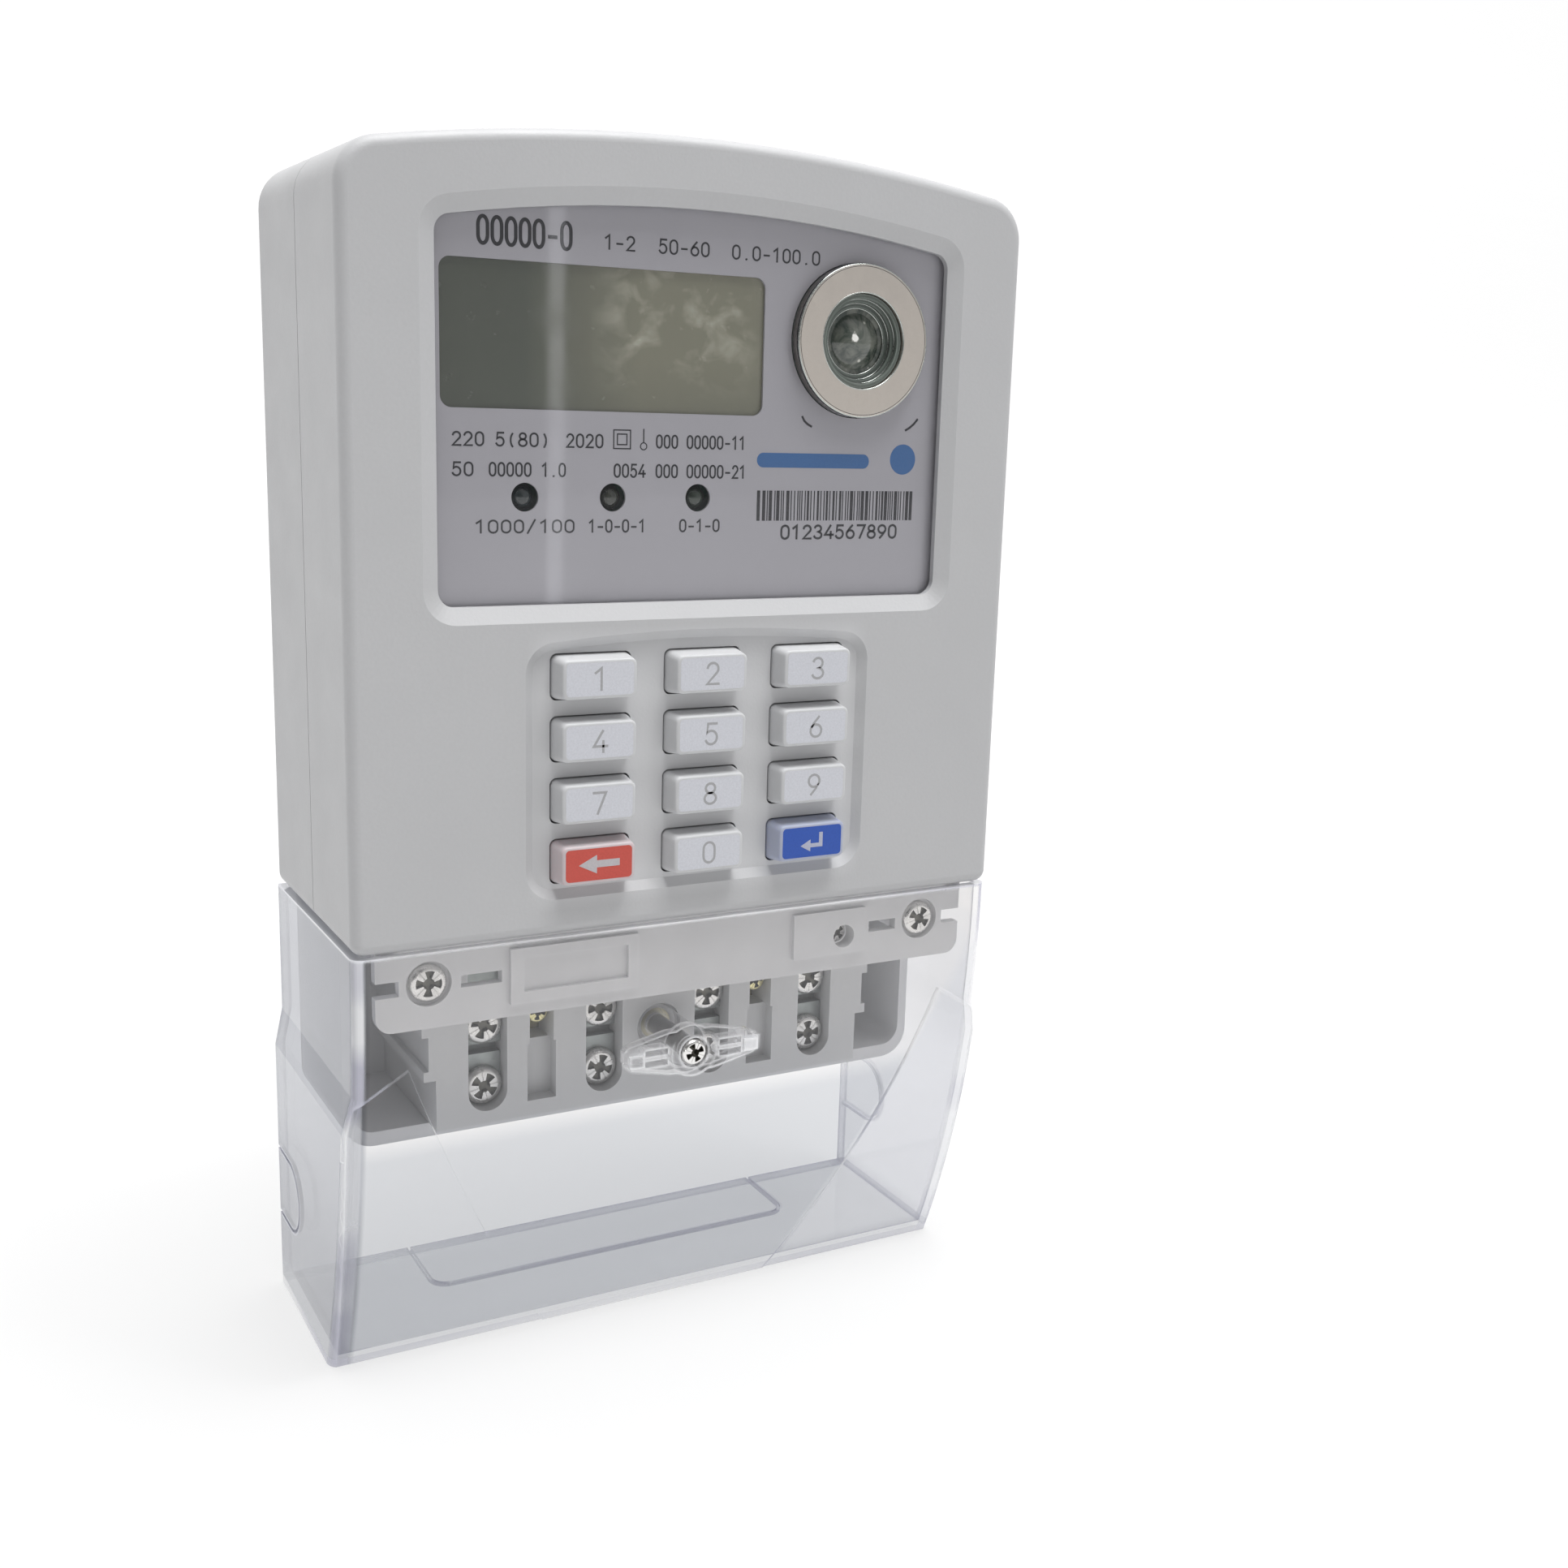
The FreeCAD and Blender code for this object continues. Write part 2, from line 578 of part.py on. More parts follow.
# ---------------------------------------------------------------- keypad
def make_key(x, z):
    """Tapered cap on a straight stem, with a flange behind the case wall that stops it."""
    flange_front_y = PANE_Y + 2.15
    cap = frustum(key_outline(x, z, KEY_TOP_Y, -KEY_TAPER), key_outline(x, z, PANE_Y, 0.0))
    cap = cap.makeFillet(0.7, edges_at_y(cap, KEY_TOP_Y))
    stem = extrude_y(key_outline(x, z, PANE_Y - 0.05, 0.0), flange_front_y + 0.5)
    flange = extrude_y(key_outline(x, z, flange_front_y, 1.1), flange_front_y + 1.0)
    return fuse([cap, stem, flange])


def make_keypad_mat():
    """Rubber sheet with a dome under each key, drawn at its pressed height."""
    sheet_front_y = DISPLAY_BOARD_FRONT_Y - 1.1
    sheet_back_y = DISPLAY_BOARD_FRONT_Y - 0.05
    sheet = extrude_y(rounded_rectangle(-34, 34, 94.5, 141.0, 2.0, sheet_front_y), sheet_back_y)
    domes = []
    for _, x, z in key_places():
        dome = Part.makeCone(3.2, 2.2, 0.75, Vector(x, sheet_front_y + 0.1, z), Vector(0, -1, 0))
        domes.append(dome)
    return fuse([sheet] + domes)


# ---------------------------------------------------------------- boards and what is on them
def board(front_y, top):
    plate = extrude_y(rounded_rectangle(-BOARD_HALF_WIDTH, BOARD_HALF_WIDTH, BOARD_BOTTOM, top, 2.5,
                                        front_y), front_y + BOARD_THICKNESS)
    holes = []
    for x in (-BOARD_SCREW_X, BOARD_SCREW_X):
        for z in BOARD_SCREW_Z:
            holes.append(rod_y(x, z, BOARD_HOLE_RADIUS, front_y - 1,
                               front_y + BOARD_THICKNESS + 1))
    return cut(plate, holes)


def board_screws(head_y, tip_y, side):
    """Four small screws; side is -1 when the heads face the keys and +1 when they face the wall."""
    screws = []
    for x in (-BOARD_SCREW_X, BOARD_SCREW_X):
        for z in BOARD_SCREW_Z:
            far_y = head_y + side * BOARD_SCREW_HEAD_DEPTH
            head = rod_y(x, z, BOARD_SCREW_HEAD_RADIUS, min(head_y, far_y), max(head_y, far_y))
            shank = rod_y(x, z, BOARD_SCREW_RADIUS, min(head_y, tip_y), max(head_y, tip_y))
            screws.append(head.fuse(shank))
    return Part.makeCompound(screws)


def make_board_spacers():
    spacers = []
    for x in (-BOARD_SCREW_X, BOARD_SCREW_X):
        for z in BOARD_SCREW_Z:
            y0 = MAIN_BOARD_FRONT_Y + BOARD_THICKNESS
            spacer = rod_y(x, z, BOARD_SPACER_RADIUS, y0, BACK_Y - CASE_WALL)
            bore = rod_y(x, z, BOARD_THREAD_RADIUS, y0 - 1, BACK_Y - CASE_WALL + 1)
            spacers.append(spacer.cut(bore))
    return Part.makeCompound(spacers)


def round_front_edges(shape, radius, limit_y):
    """Round every edge that lies in front of limit_y."""
    return shape.makeFillet(
        radius, [e for e in shape.Edges if max(v.Point.y for v in e.Vertexes) < limit_y])


def make_supply_transformer():
    """Potted mains transformer: rounded case on a stepped base."""
    foot_front_y = MAIN_BOARD_FRONT_Y - 1.6
    body = on_board(TRANSFORMER, TRANSFORMER_FRONT_Y, foot_front_y + 0.1)
    foot = on_board(TRANSFORMER, foot_front_y, grow=1.0)
    return round_front_edges(body, 1.5, foot_front_y).fuse(foot)


def make_latching_relay():
    body = round_front_edges(on_board(RELAY, RELAY_FRONT_Y), 1.0, MAIN_BOARD_FRONT_Y - 1)
    return body.fuse(on_board(RELAY_STEP, RELAY_FRONT_Y - 0.4, RELAY_FRONT_Y + 0.1))


def make_capacitors():
    cans = []
    for x in CAPACITOR_X:
        can = rod_y(x, CAPACITOR_Z, CAPACITOR_RADIUS, CAPACITOR_FRONT_Y, MAIN_BOARD_FRONT_Y)
        cans.append(can.makeFillet(0.6, edges_at_y(can, CAPACITOR_FRONT_Y)))
    return Part.makeCompound(cans)


def make_surge_varistor():
    disc = rod_x(*VARISTOR_YZ, VARISTOR_RADIUS, *VARISTOR_X)
    return disc.makeFillet(1.2, [e for e in disc.Edges if len(e.Vertexes) == 1])


def make_backup_battery():
    cell = rod_x(*BATTERY_YZ, BATTERY_RADIUS, *BATTERY_X)
    cap = rod_x(*BATTERY_YZ, 3.0, BATTERY_X[1] - 0.1, BATTERY_X[1] + 1.0)
    cradle = on_board(BATTERY_CRADLE, MAIN_BOARD_FRONT_Y - 2.5)
    return fuse([cell, cap, cradle])


def make_board_chips():
    front_y = MAIN_BOARD_FRONT_Y - CHIP_HEIGHT
    chips = [on_board(place, front_y) for place in CHIPS]
    return Part.makeCompound([c.makeChamfer(0.3, edges_at_y(c, front_y)) for c in chips])


def make_link_board():
    """Small upright board that joins the display board to the main board."""
    return on_board(LINK_BOARD, DISPLAY_BOARD_FRONT_Y + BOARD_THICKNESS)


def make_buzzer():
    back_y = DISPLAY_BOARD_FRONT_Y + BOARD_THICKNESS
    front_y = back_y + BUZZER_HEIGHT
    can = rod_y(*BUZZER_XZ, BUZZER_RADIUS, back_y, front_y)
    can = can.makeFillet(0.5, edges_at_y(can, front_y))
    return can.cut(rod_y(*BUZZER_XZ, 1.0, front_y - 1.5, front_y + 0.5))


def make_shunt():
    """Current shunt: two copper ends on a resistive middle."""
    ends = [box(*SHUNT_X, *SHUNT_Y, *z) for z in SHUNT_Z]
    middle = box(SHUNT_X[0] + 1.0, SHUNT_X[1] - 1.0, SHUNT_Y[0] + 0.6, SHUNT_Y[1] - 0.6,
                 SHUNT_Z[0][1] - 0.1, SHUNT_Z[1][0] + 0.1)
    return fuse(ends + [middle])


def make_bar(x, top):
    """Flat copper bar that rises from a terminal."""
    return box(x - BAR_HALF_WIDTH, x + BAR_HALF_WIDTH, *BAR_Y, WIRE_BORE_TOP + CLAMP_ABOVE_BORE, top)


def make_neutral_bar():
    x_in = MAIN_TERMINALS["terminal_neutral_in"]
    x_out = MAIN_TERMINALS["terminal_neutral_out"]
    bridge = box(x_in - BAR_HALF_WIDTH, x_out + BAR_HALF_WIDTH, *BAR_Y, *BRIDGE_Z)
    return fuse([make_bar(x_in, NEUTRAL_BAR_TOP), make_bar(x_out, NEUTRAL_BAR_TOP), bridge])


# ---------------------------------------------------------------- rear base
def make_rear_base():
    upper = extrude_y(case_outline(BASE_RIM_Y), BACK_Y)
    upper = upper.makeFillet(1.8, edges_at_y(upper, BACK_Y))
    cavity = extrude_y(case_outline(BASE_RIM_Y - 1, -CASE_WALL), BACK_Y - CASE_WALL)
    upper = upper.cut(cavity)

    tray = extrude_y(rounded_rectangle(-TRAY_HALF_WIDTH, TRAY_HALF_WIDTH, TRAY_BOTTOM,
                                       CASE_BOTTOM + 12, TRAY_CORNER_RADIUS, TRAY_RIM_Y), BACK_Y)
    tray = tray.common(box(-FAR, FAR, -FAR, FAR, 0, CASE_BOTTOM + 1))
    inner = extrude_y(rounded_rectangle(
        -TRAY_HALF_WIDTH + TRAY_WALL, TRAY_HALF_WIDTH - TRAY_WALL, TRAY_BOTTOM + TRAY_FLOOR,
        CASE_BOTTOM + 12, TRAY_CORNER_RADIUS - TRAY_WALL, TRAY_RIM_Y - 1), BACK_Y - CASE_WALL)
    inner = inner.common(box(-FAR, FAR, -FAR, FAR, 0, CASE_BOTTOM))
    tray = tray.cut(inner)
    tray = tray.cut(box(-FAR, FAR, TRAY_RIM_Y - 1, BASE_RIM_Y, CASE_BOTTOM - 0.2, CASE_BOTTOM + 2))

    extras = []
    for side in (-1, 1):
        x = side * CASE_SCREW_X
        extras.append(rod_y(x, CASE_SCREW_Z, 4.2, TONGUE_BACK_Y + 0.1, BACK_Y - 1))
        rib_x = sorted((side * (CASE_SCREW_X + 2), side * (TRAY_HALF_WIDTH - 1)))
        extras.append(box(rib_x[0], rib_x[1], TRAY_RIM_Y + 1, BACK_Y - 1, 78.9, 80.5))
    extras.append(make_hanger_pocket())
    shell = fuse([upper, tray] + extras)

    groove = extrude_y(case_outline(BASE_RIM_Y - 1, -0.75), BASE_RIM_Y + 1.05)
    groove = groove.cut(extrude_y(case_outline(BASE_RIM_Y - 2, -1.75), BASE_RIM_Y + 2))
    tools = [hanger_cavity(), groove]
    for side in (-1, 1):
        x = side * CASE_SCREW_X
        tools.append(rod_y(x, CASE_SCREW_Z, 1.8, TONGUE_BACK_Y - 1, -5.0))
        tools.append(rod_y(side * FIXING_HOLE_X, FIXING_HOLE_Z, FIXING_HOLE_RADIUS,
                           BACK_Y - CASE_WALL - 1, BACK_Y + 1))
    tools.append(box(-WIRE_WINDOW_HALF_WIDTH, WIRE_WINDOW_HALF_WIDTH, WIRE_WINDOW_FRONT_Y,
                     WIRE_WINDOW_BACK_Y, TRAY_BOTTOM - 1, BLOCK_BOTTOM))
    for x in MAIN_TERMINALS.values():
        tools.append(box(x - 3.4, x + 3.4, 6.0, 9.0, CASE_BOTTOM - 1, CASE_BOTTOM + CASE_WALL + 1))
    return cut(shell, tools)


def make_hanger_pocket():
    """Closed box inside the back wall that gives the hanging screw's head room."""
    return box(-9.0, 9.0, MAIN_BOARD_FRONT_Y + BOARD_THICKNESS + 0.3, BACK_Y - 1,
               HANGER_Z - 9.0, HANGER_Z + 11.5)


def hanger_cavity():
    seat = box(-7.5, 7.5, BACK_Y - HANGER_THICKNESS, BACK_Y + 1, HANGER_Z - 7.5, HANGER_Z + 10.0)
    room = box(-6.0, 6.0, BACK_Y - 6.2, BACK_Y, HANGER_Z - 6.0, HANGER_Z + 9.0)
    return seat.fuse(room)


def make_wall_hanger():
    """Steel plate with a keyhole, let into the back wall."""
    plate = extrude_y(rounded_rectangle(-7.4, 7.4, HANGER_Z - 7.4, HANGER_Z + 9.9, 1.0,
                                        BACK_Y - HANGER_THICKNESS), BACK_Y)
    y0 = BACK_Y - HANGER_THICKNESS - 1
    y1 = BACK_Y + 1
    entry = rod_y(0, HANGER_Z, HANGER_ENTRY_RADIUS, y0, y1)
    slot_end_z = HANGER_Z + 6.5
    slot = box(-HANGER_SLOT_RADIUS, HANGER_SLOT_RADIUS, y0, y1, HANGER_Z, slot_end_z)
    slot_end = rod_y(0, slot_end_z, HANGER_SLOT_RADIUS, y0, y1)
    return cut(plate, [entry, slot, slot_end])


def make_case_gasket():
    outer = extrude_y(case_outline(CASE_RIM_Y + 0.02, -0.8), BASE_RIM_Y + 1.0)
    inner = extrude_y(case_outline(CASE_RIM_Y - 1, -1.7), BASE_RIM_Y + 2)
    return outer.cut(inner)


# ---------------------------------------------------------------- terminals
def slot_with_round_foot(x, half_width, bottom, top, y0, y1):
    """Upright slot whose lower end is a half circle."""
    straight = box(x - half_width, x + half_width, y0, y1, bottom + half_width, top)
    return straight.fuse(rod_y(x, bottom + half_width, half_width, y0, y1))


def block_outline(y):
    """Front view of the terminal block, with guide rails down both sides."""
    right = [(BLOCK_SIDE_X + step, z) for step, z in BLOCK_SIDE_STEPS]
    left = [(-x, z) for x, z in reversed(right)]
    return polygon(right + left, y)


def cover_screw_bores():
    """Stepped hole through both halves of the block for the boss, the insert and the screw."""
    front = BLOCK_FRONT_Y - 1
    return [
        rod_y(0, COVER_SCREW_Z, BOSS_RADIUS + 0.5, front, BLOCK_FRONT_Y + BOSS_SEAT_DEPTH),
        rod_y(0, COVER_SCREW_Z, INSERT_RADIUS + 0.05, front, INSERT_BACK_Y + 0.2),
        rod_y(0, COVER_SCREW_Z, COVER_SCREW_HOLE_RADIUS, front, COVER_SCREW_TIP_Y + 5.0),
    ]


def make_terminal_block():
    """Front half of the block: a guard plate with a driver slot over each terminal."""
    plate = extrude_y(block_outline(BLOCK_FRONT_Y), BLOCK_SPLIT_Y)
    front = BLOCK_FRONT_Y - 1
    back = BLOCK_SPLIT_Y + 1
    tools = cover_screw_bores()
    for x in MAIN_TERMINALS.values():
        tools.append(slot_with_round_foot(x, MAIN_SLOT_HALF_WIDTH, MAIN_SLOT_BOTTOM, BLOCK_TOP + 1,
                                          front, back))
    for x in AUX_TERMINAL_X:
        tools.append(box(x - AUX_FOOT_HALF_WIDTH, x + AUX_FOOT_HALF_WIDTH, front,
                         BLOCK_FRONT_Y + AUX_FOOT_DEPTH, AUX_SLOT_BOTTOM, AUX_SLOT_STEP_Z))
        tools.append(box(x - AUX_SLOT_HALF_WIDTH, x + AUX_SLOT_HALF_WIDTH, front, back,
                         AUX_SLOT_STEP_Z - 0.1, BLOCK_TOP + 1))
    return cut(plate, tools)


def make_terminal_carrier():
    """Rear half of the block: a comb whose gaps hold the terminals, open below for the wires."""
    comb = extrude_y(block_outline(BLOCK_SPLIT_Y), BLOCK_BACK_Y)
    y0 = BLOCK_SPLIT_Y - 1
    tools = cover_screw_bores()
    for x in MAIN_TERMINALS.values():
        tools.append(box(x - CLAMP_HALF_WIDTH - 0.1, x + CLAMP_HALF_WIDTH + 0.1, y0, CLAMP_BACK_Y + 0.2,
                         BLOCK_BOTTOM - 1, BLOCK_TOP + 1))
    for x in AUX_TERMINAL_X:
        tools.append(box(x - AUX_CLAMP_HALF_WIDTH - 0.15, x + AUX_CLAMP_HALF_WIDTH + 0.15, y0,
                         AUX_CLAMP_BACK_Y + 0.2, BLOCK_BOTTOM - 1, BLOCK_TOP + 1))
    return cut(comb, tools)


def make_clamp(x):
    """Clamp body with a wire bore from below and two screw holes from the front.

    A narrower face fills the driver slot behind the screw heads; a groove crosses it between them.
    """
    body = box(x - CLAMP_HALF_WIDTH, x + CLAMP_HALF_WIDTH, 0.1, CLAMP_BACK_Y, CLAMP_BOTTOM,
               WIRE_BORE_TOP + CLAMP_ABOVE_BORE)
    body = body.makeChamfer(0.5, edges_at_y(body, 0.1))
    face = slot_with_round_foot(x, MAIN_SLOT_HALF_WIDTH - CLAMP_FACE_GAP,
                                MAIN_SLOT_BOTTOM + CLAMP_FACE_GAP, WIRE_BORE_TOP, CLAMP_FACE_Y, 0.6)
    tools = [
        rod_z(x, WIRE_BORE_Y, WIRE_BORE_RADIUS, 45.0, WIRE_BORE_TOP),
        box(x - CLAMP_HALF_WIDTH, x + CLAMP_HALF_WIDTH, CLAMP_FACE_Y - 1,
            CLAMP_FACE_Y + CLAMP_GROOVE_DEPTH, CLAMP_GROOVE_BOTTOM, CLAMP_GROOVE_TOP),
    ]
    for z in MAIN_SCREW_Z:
        tools.append(rod_y(x, z, 2.55, CLAMP_FACE_Y - 1, WIRE_BORE_Y))
    return cut(body.fuse(face), tools)


def make_terminal_screws():
    screws = []
    for x in MAIN_TERMINALS.values():
        for z in MAIN_SCREW_Z:
            screws.append(pan_screw(x, z, MAIN_SCREW_FRONT_Y, MAIN_SCREW_RADIUS,
                                    MAIN_SCREW_HEAD_DEPTH, 2.5, MAIN_SCREW_TIP_Y, 1.3))
    return Part.makeCompound(screws)


def make_aux_terminals():
    blocks = []
    for x in AUX_TERMINAL_X:
        body = box(x - AUX_CLAMP_HALF_WIDTH, x + AUX_CLAMP_HALF_WIDTH, 0.2, AUX_CLAMP_BACK_Y, 58.2, 70.0)
        body = body.cut(rod_z(x, AUX_BORE_Y, AUX_BORE_RADIUS, 57.0, 67.5))
        blocks.append(body.cut(rod_y(x, AUX_SCREW_Z, 1.3, -1.0, AUX_BORE_Y)))
    return Part.makeCompound(blocks)


def make_aux_screws():
    screws = []
    for x in AUX_TERMINAL_X:
        screws.append(pan_screw(x, AUX_SCREW_Z, AUX_SCREW_FRONT_Y, AUX_SCREW_RADIUS,
                                AUX_SCREW_HEAD_DEPTH, 1.25, AUX_BORE_Y - 1.7, 0.9))
    return Part.makeCompound(screws)


def make_screw_insert():
    """Brass insert in the block that the cover screw goes into."""
    sleeve = rod_y(0, COVER_SCREW_Z, INSERT_RADIUS, BLOCK_FRONT_Y + 1.8, INSERT_BACK_Y)
    return sleeve.cut(rod_y(0, COVER_SCREW_Z, COVER_SCREW_HOLE_RADIUS, BLOCK_FRONT_Y, BLOCK_FRONT_Y + 11))


def make_case_screws():
    screws = []
    for side in (-1, 1):
        screws.append(pan_screw(side * CASE_SCREW_X, CASE_SCREW_Z, TONGUE_FRONT_Y - 0.1, 3.5, 1.5,
                                1.75, -6.0, 1.2))
    return Part.makeCompound(screws)


def make_service_screw():
    return pan_screw(SERVICE_SCREW_X, SERVICE_SCREW_Z, TONGUE_FRONT_Y + SERVICE_SCREW_DEPTH,
                     2.1, 1.4, 1.2, -9.6, 0.7)


# ---------------------------------------------------------------- terminal cover
def cover_front_y(z):
    """Depth of the cover's swept front face at height z."""
    rise = COVER_SWEEP_CENTRE_Z - z
    return FACE_Y + COVER_SWEEP_RADIUS - math.sqrt(COVER_SWEEP_RADIUS ** 2 - rise ** 2)


def cover_side_profile(offset, bottom, top, back):
    """Prism across X of the cover's side view, its front moved in by offset."""
    radius = COVER_SWEEP_RADIUS - offset
    centre_y = FACE_Y + COVER_SWEEP_RADIUS

    def on_arc(z):
        return Vector(-100, centre_y - math.sqrt(radius ** 2 - (COVER_SWEEP_CENTRE_Z - z) ** 2), z)

    front = Part.Arc(on_arc(top), on_arc((top + bottom) / 2), on_arc(bottom)).toShape()
    low = Part.LineSegment(on_arc(bottom), Vector(-100, back, bottom)).toShape()
    rear = Part.LineSegment(Vector(-100, back, bottom), Vector(-100, back, top)).toShape()
    high = Part.LineSegment(Vector(-100, back, top), on_arc(top)).toShape()
    return Part.Face(Part.Wire([front, low, rear, high])).extrude(Vector(200, 0, 0))


def cover_front_profile(inset, bottom, top):
    """Prism across Y of the cover's front view, its sides moved in by inset."""
    narrow = COVER_HALF_WIDTH - inset
    wide = COVER_FLARED_HALF_WIDTH - inset
    half = [(wide, bottom), (wide, COVER_FLARE_BOTTOM), (narrow, COVER_FLARE_TOP), (narrow, top)]
    mirrored = [(-x, z) for x, z in reversed(half)]
    return extrude_y(polygon(half + mirrored, -60.0), 60.0)


def round_front_corners(shape, radius):
    """Round the edges where the swept front meets the sides."""
    chosen = []
    for edge in shape.Edges:
        middle = edge.valueAt((edge.FirstParameter + edge.LastParameter) / 2)
        on_front = abs(middle.y - cover_front_y(min(middle.z, COVER_TOP))) < 0.05
        rises = abs(edge.Vertexes[0].Point.z - edge.Vertexes[-1].Point.z) > 1.0
        if rises and middle.y < 0 and abs(middle.x) > 60 and on_front:
            chosen.append(edge)
    return shape.makeFillet(radius, chosen)


def crease_cutter(side):
    """What is taken off the front outside the curved crease, most at the top of the crease."""
    outline = Part.Wire([
        Part.LineSegment(Vector(side * 57.0, -60, 64.5), Vector(side * 72.0, -60, 55.0)).toShape(),
        Part.LineSegment(Vector(side * 72.0, -60, 55.0), Vector(side * 72.0, -60, -1.0)).toShape(),
        Part.LineSegment(Vector(side * 72.0, -60, -1.0), Vector(side * 24.8, -60, -1.0)).toShape(),
        Part.Arc(Vector(side * 24.8, -60, -1.0), Vector(side * 44.3, -60, 34.5),
                 Vector(side * 57.0, -60, 64.5)).toShape(),
    ])
    region = extrude_y(outline, 5.0)
    body = cover_side_profile(0.0, 0.0, COVER_TOP, BACK_Y)
    foot = Vector(0, cover_front_y(0.0), 0)
    body.rotate(foot, Vector(1, 0, 0), -math.degrees(math.atan2(0.75, 64.5)))
    body.translate(Vector(0, 0.35, 0))
    return region.cut(body)


def make_screw_boss():
    """Tube to the terminal block, with a seal-wire wing on each side and a lug on each wing."""
    front = cover_front_y(COVER_SCREW_Z)
    tube = rod_y(0, COVER_SCREW_Z, BOSS_RADIUS, front + 0.5, BLOCK_FRONT_Y + 1.4)
    collar = rod_y(0, COVER_SCREW_Z, 4.9, front - 0.35, front + 4.2)
    z = COVER_SCREW_Z
    wing_points = [(-13.4, z - 1.9), (-4.5, z - 3.9), (4.5, z - 3.9), (13.4, z - 1.9),
                   (13.4, z + 1.9), (4.5, z + 3.9), (-4.5, z + 3.9), (-13.4, z + 1.9)]
    wings = extrude_y(polygon(wing_points, front - 0.1), front + 4.2)
    solids = [tube, collar, wings]
    for side in (-1, 1):
        lug_x = sorted((side * 10.8, side * 13.9))
        solids.append(box(lug_x[0], lug_x[1], front - 0.7, front + 4.0, z - 1.3, z + 1.2))
    return fuse(solids)


def boss_hollows():
    front = cover_front_y(COVER_SCREW_Z)
    z = COVER_SCREW_Z
    tools = [
        rod_y(0, z, COVER_SCREW_HEAD_RADIUS + 0.3, front - 2, COVER_SCREW_HEAD_BACK_Y + 0.05),
        rod_y(0, z, COVER_SCREW_HOLE_RADIUS, front - 2, BLOCK_FRONT_Y + 3),
    ]
    for side in (-1, 1):
        slot_x = sorted((side * 5.6, side * 10.4))
        for low in (0.45, -1.75):
            tools.append(box(slot_x[0], slot_x[1], front - 2, front + 3.2, z + low, z + low + 1.3))
    return tools


def knock_out_grooves():
    """Score lines of the cable knock-outs in the two sides and the bottom."""
    grooves = []
    radius = 7.5
    y_front = 12.25
    z_mid = 23.5
    width = 0.7
    for side in (-1, 1):
        x_out = side * COVER_FLARED_HALF_WIDTH
        x0, x1 = sorted((x_out, x_out - side * 0.9))
        disc = rod_x(y_front + radius, z_mid, radius, x0, x1)
        slab = box(x0, x1, y_front + radius, BACK_Y + 1, z_mid - radius, z_mid + radius)
        inner_disc = rod_x(y_front + radius, z_mid, radius - width, x0 - 1, x1 + 1)
        inner_slab = box(x0 - 1, x1 + 1, y_front + radius, BACK_Y + 2,
                         z_mid - radius + width, z_mid + radius - width)
        grooves.append(disc.fuse(slab).cut(inner_disc.fuse(inner_slab)))

    def flat_outline(inset):
        x = 41.9 - inset
        y0 = 10.25 + inset
        r = 4.0 - inset
        corner = r * (1 - math.sqrt(0.5))
        return Part.Wire([
            Part.LineSegment(Vector(-x, 31, 0), Vector(-x, y0 + r, 0)).toShape(),
            Part.Arc(Vector(-x, y0 + r, 0), Vector(-x + corner, y0 + corner, 0),
                     Vector(-x + r, y0, 0)).toShape(),
            Part.LineSegment(Vector(-x + r, y0, 0), Vector(x - r, y0, 0)).toShape(),
            Part.Arc(Vector(x - r, y0, 0), Vector(x - corner, y0 + corner, 0),
                     Vector(x, y0 + r, 0)).toShape(),
            Part.LineSegment(Vector(x, y0 + r, 0), Vector(x, 31, 0)).toShape(),
            Part.LineSegment(Vector(x, 31, 0), Vector(-x, 31, 0)).toShape(),
        ])

    outer = Part.Face(flat_outline(0.0)).extrude(Vector(0, 0, 0.9))
    inner = Part.Face(flat_outline(width)).extrude(Vector(0, 0, 2.0))
    band = outer.cut(inner)
    band = band.cut(box(-40.5, 40.5, 30.0, 32.0, -1, 2))
    band.translate(Vector(0, 0, COVER_WALL - 0.9 + 0.1))
    grooves.append(band)
    return grooves


def make_terminal_cover():
    outer = cover_front_profile(0.0, 0.0, COVER_TOP).common(
        cover_side_profile(0.0, 0.0, COVER_TOP, BACK_Y))
    outer = round_front_corners(outer, COVER_CORNER_RADIUS)
    for side in (-1, 1):
        outer = outer.cut(crease_cutter(side))
    inner = cover_front_profile(COVER_WALL, COVER_WALL, COVER_TOP + 1).common(
        cover_side_profile(COVER_WALL, COVER_WALL, COVER_TOP + 1, BACK_Y + 1))
    shell = outer.cut(inner)
    cover = shell.fuse(make_screw_boss())
    return cut(cover, boss_hollows() + knock_out_grooves())


def make_cover_screw():
    depth = COVER_SCREW_HEAD_BACK_Y - COVER_SCREW_HEAD_FRONT_Y
    return pan_screw(0, COVER_SCREW_Z, COVER_SCREW_HEAD_FRONT_Y, COVER_SCREW_HEAD_RADIUS, depth,
                     COVER_SCREW_RADIUS, COVER_SCREW_TIP_Y, 1.0)


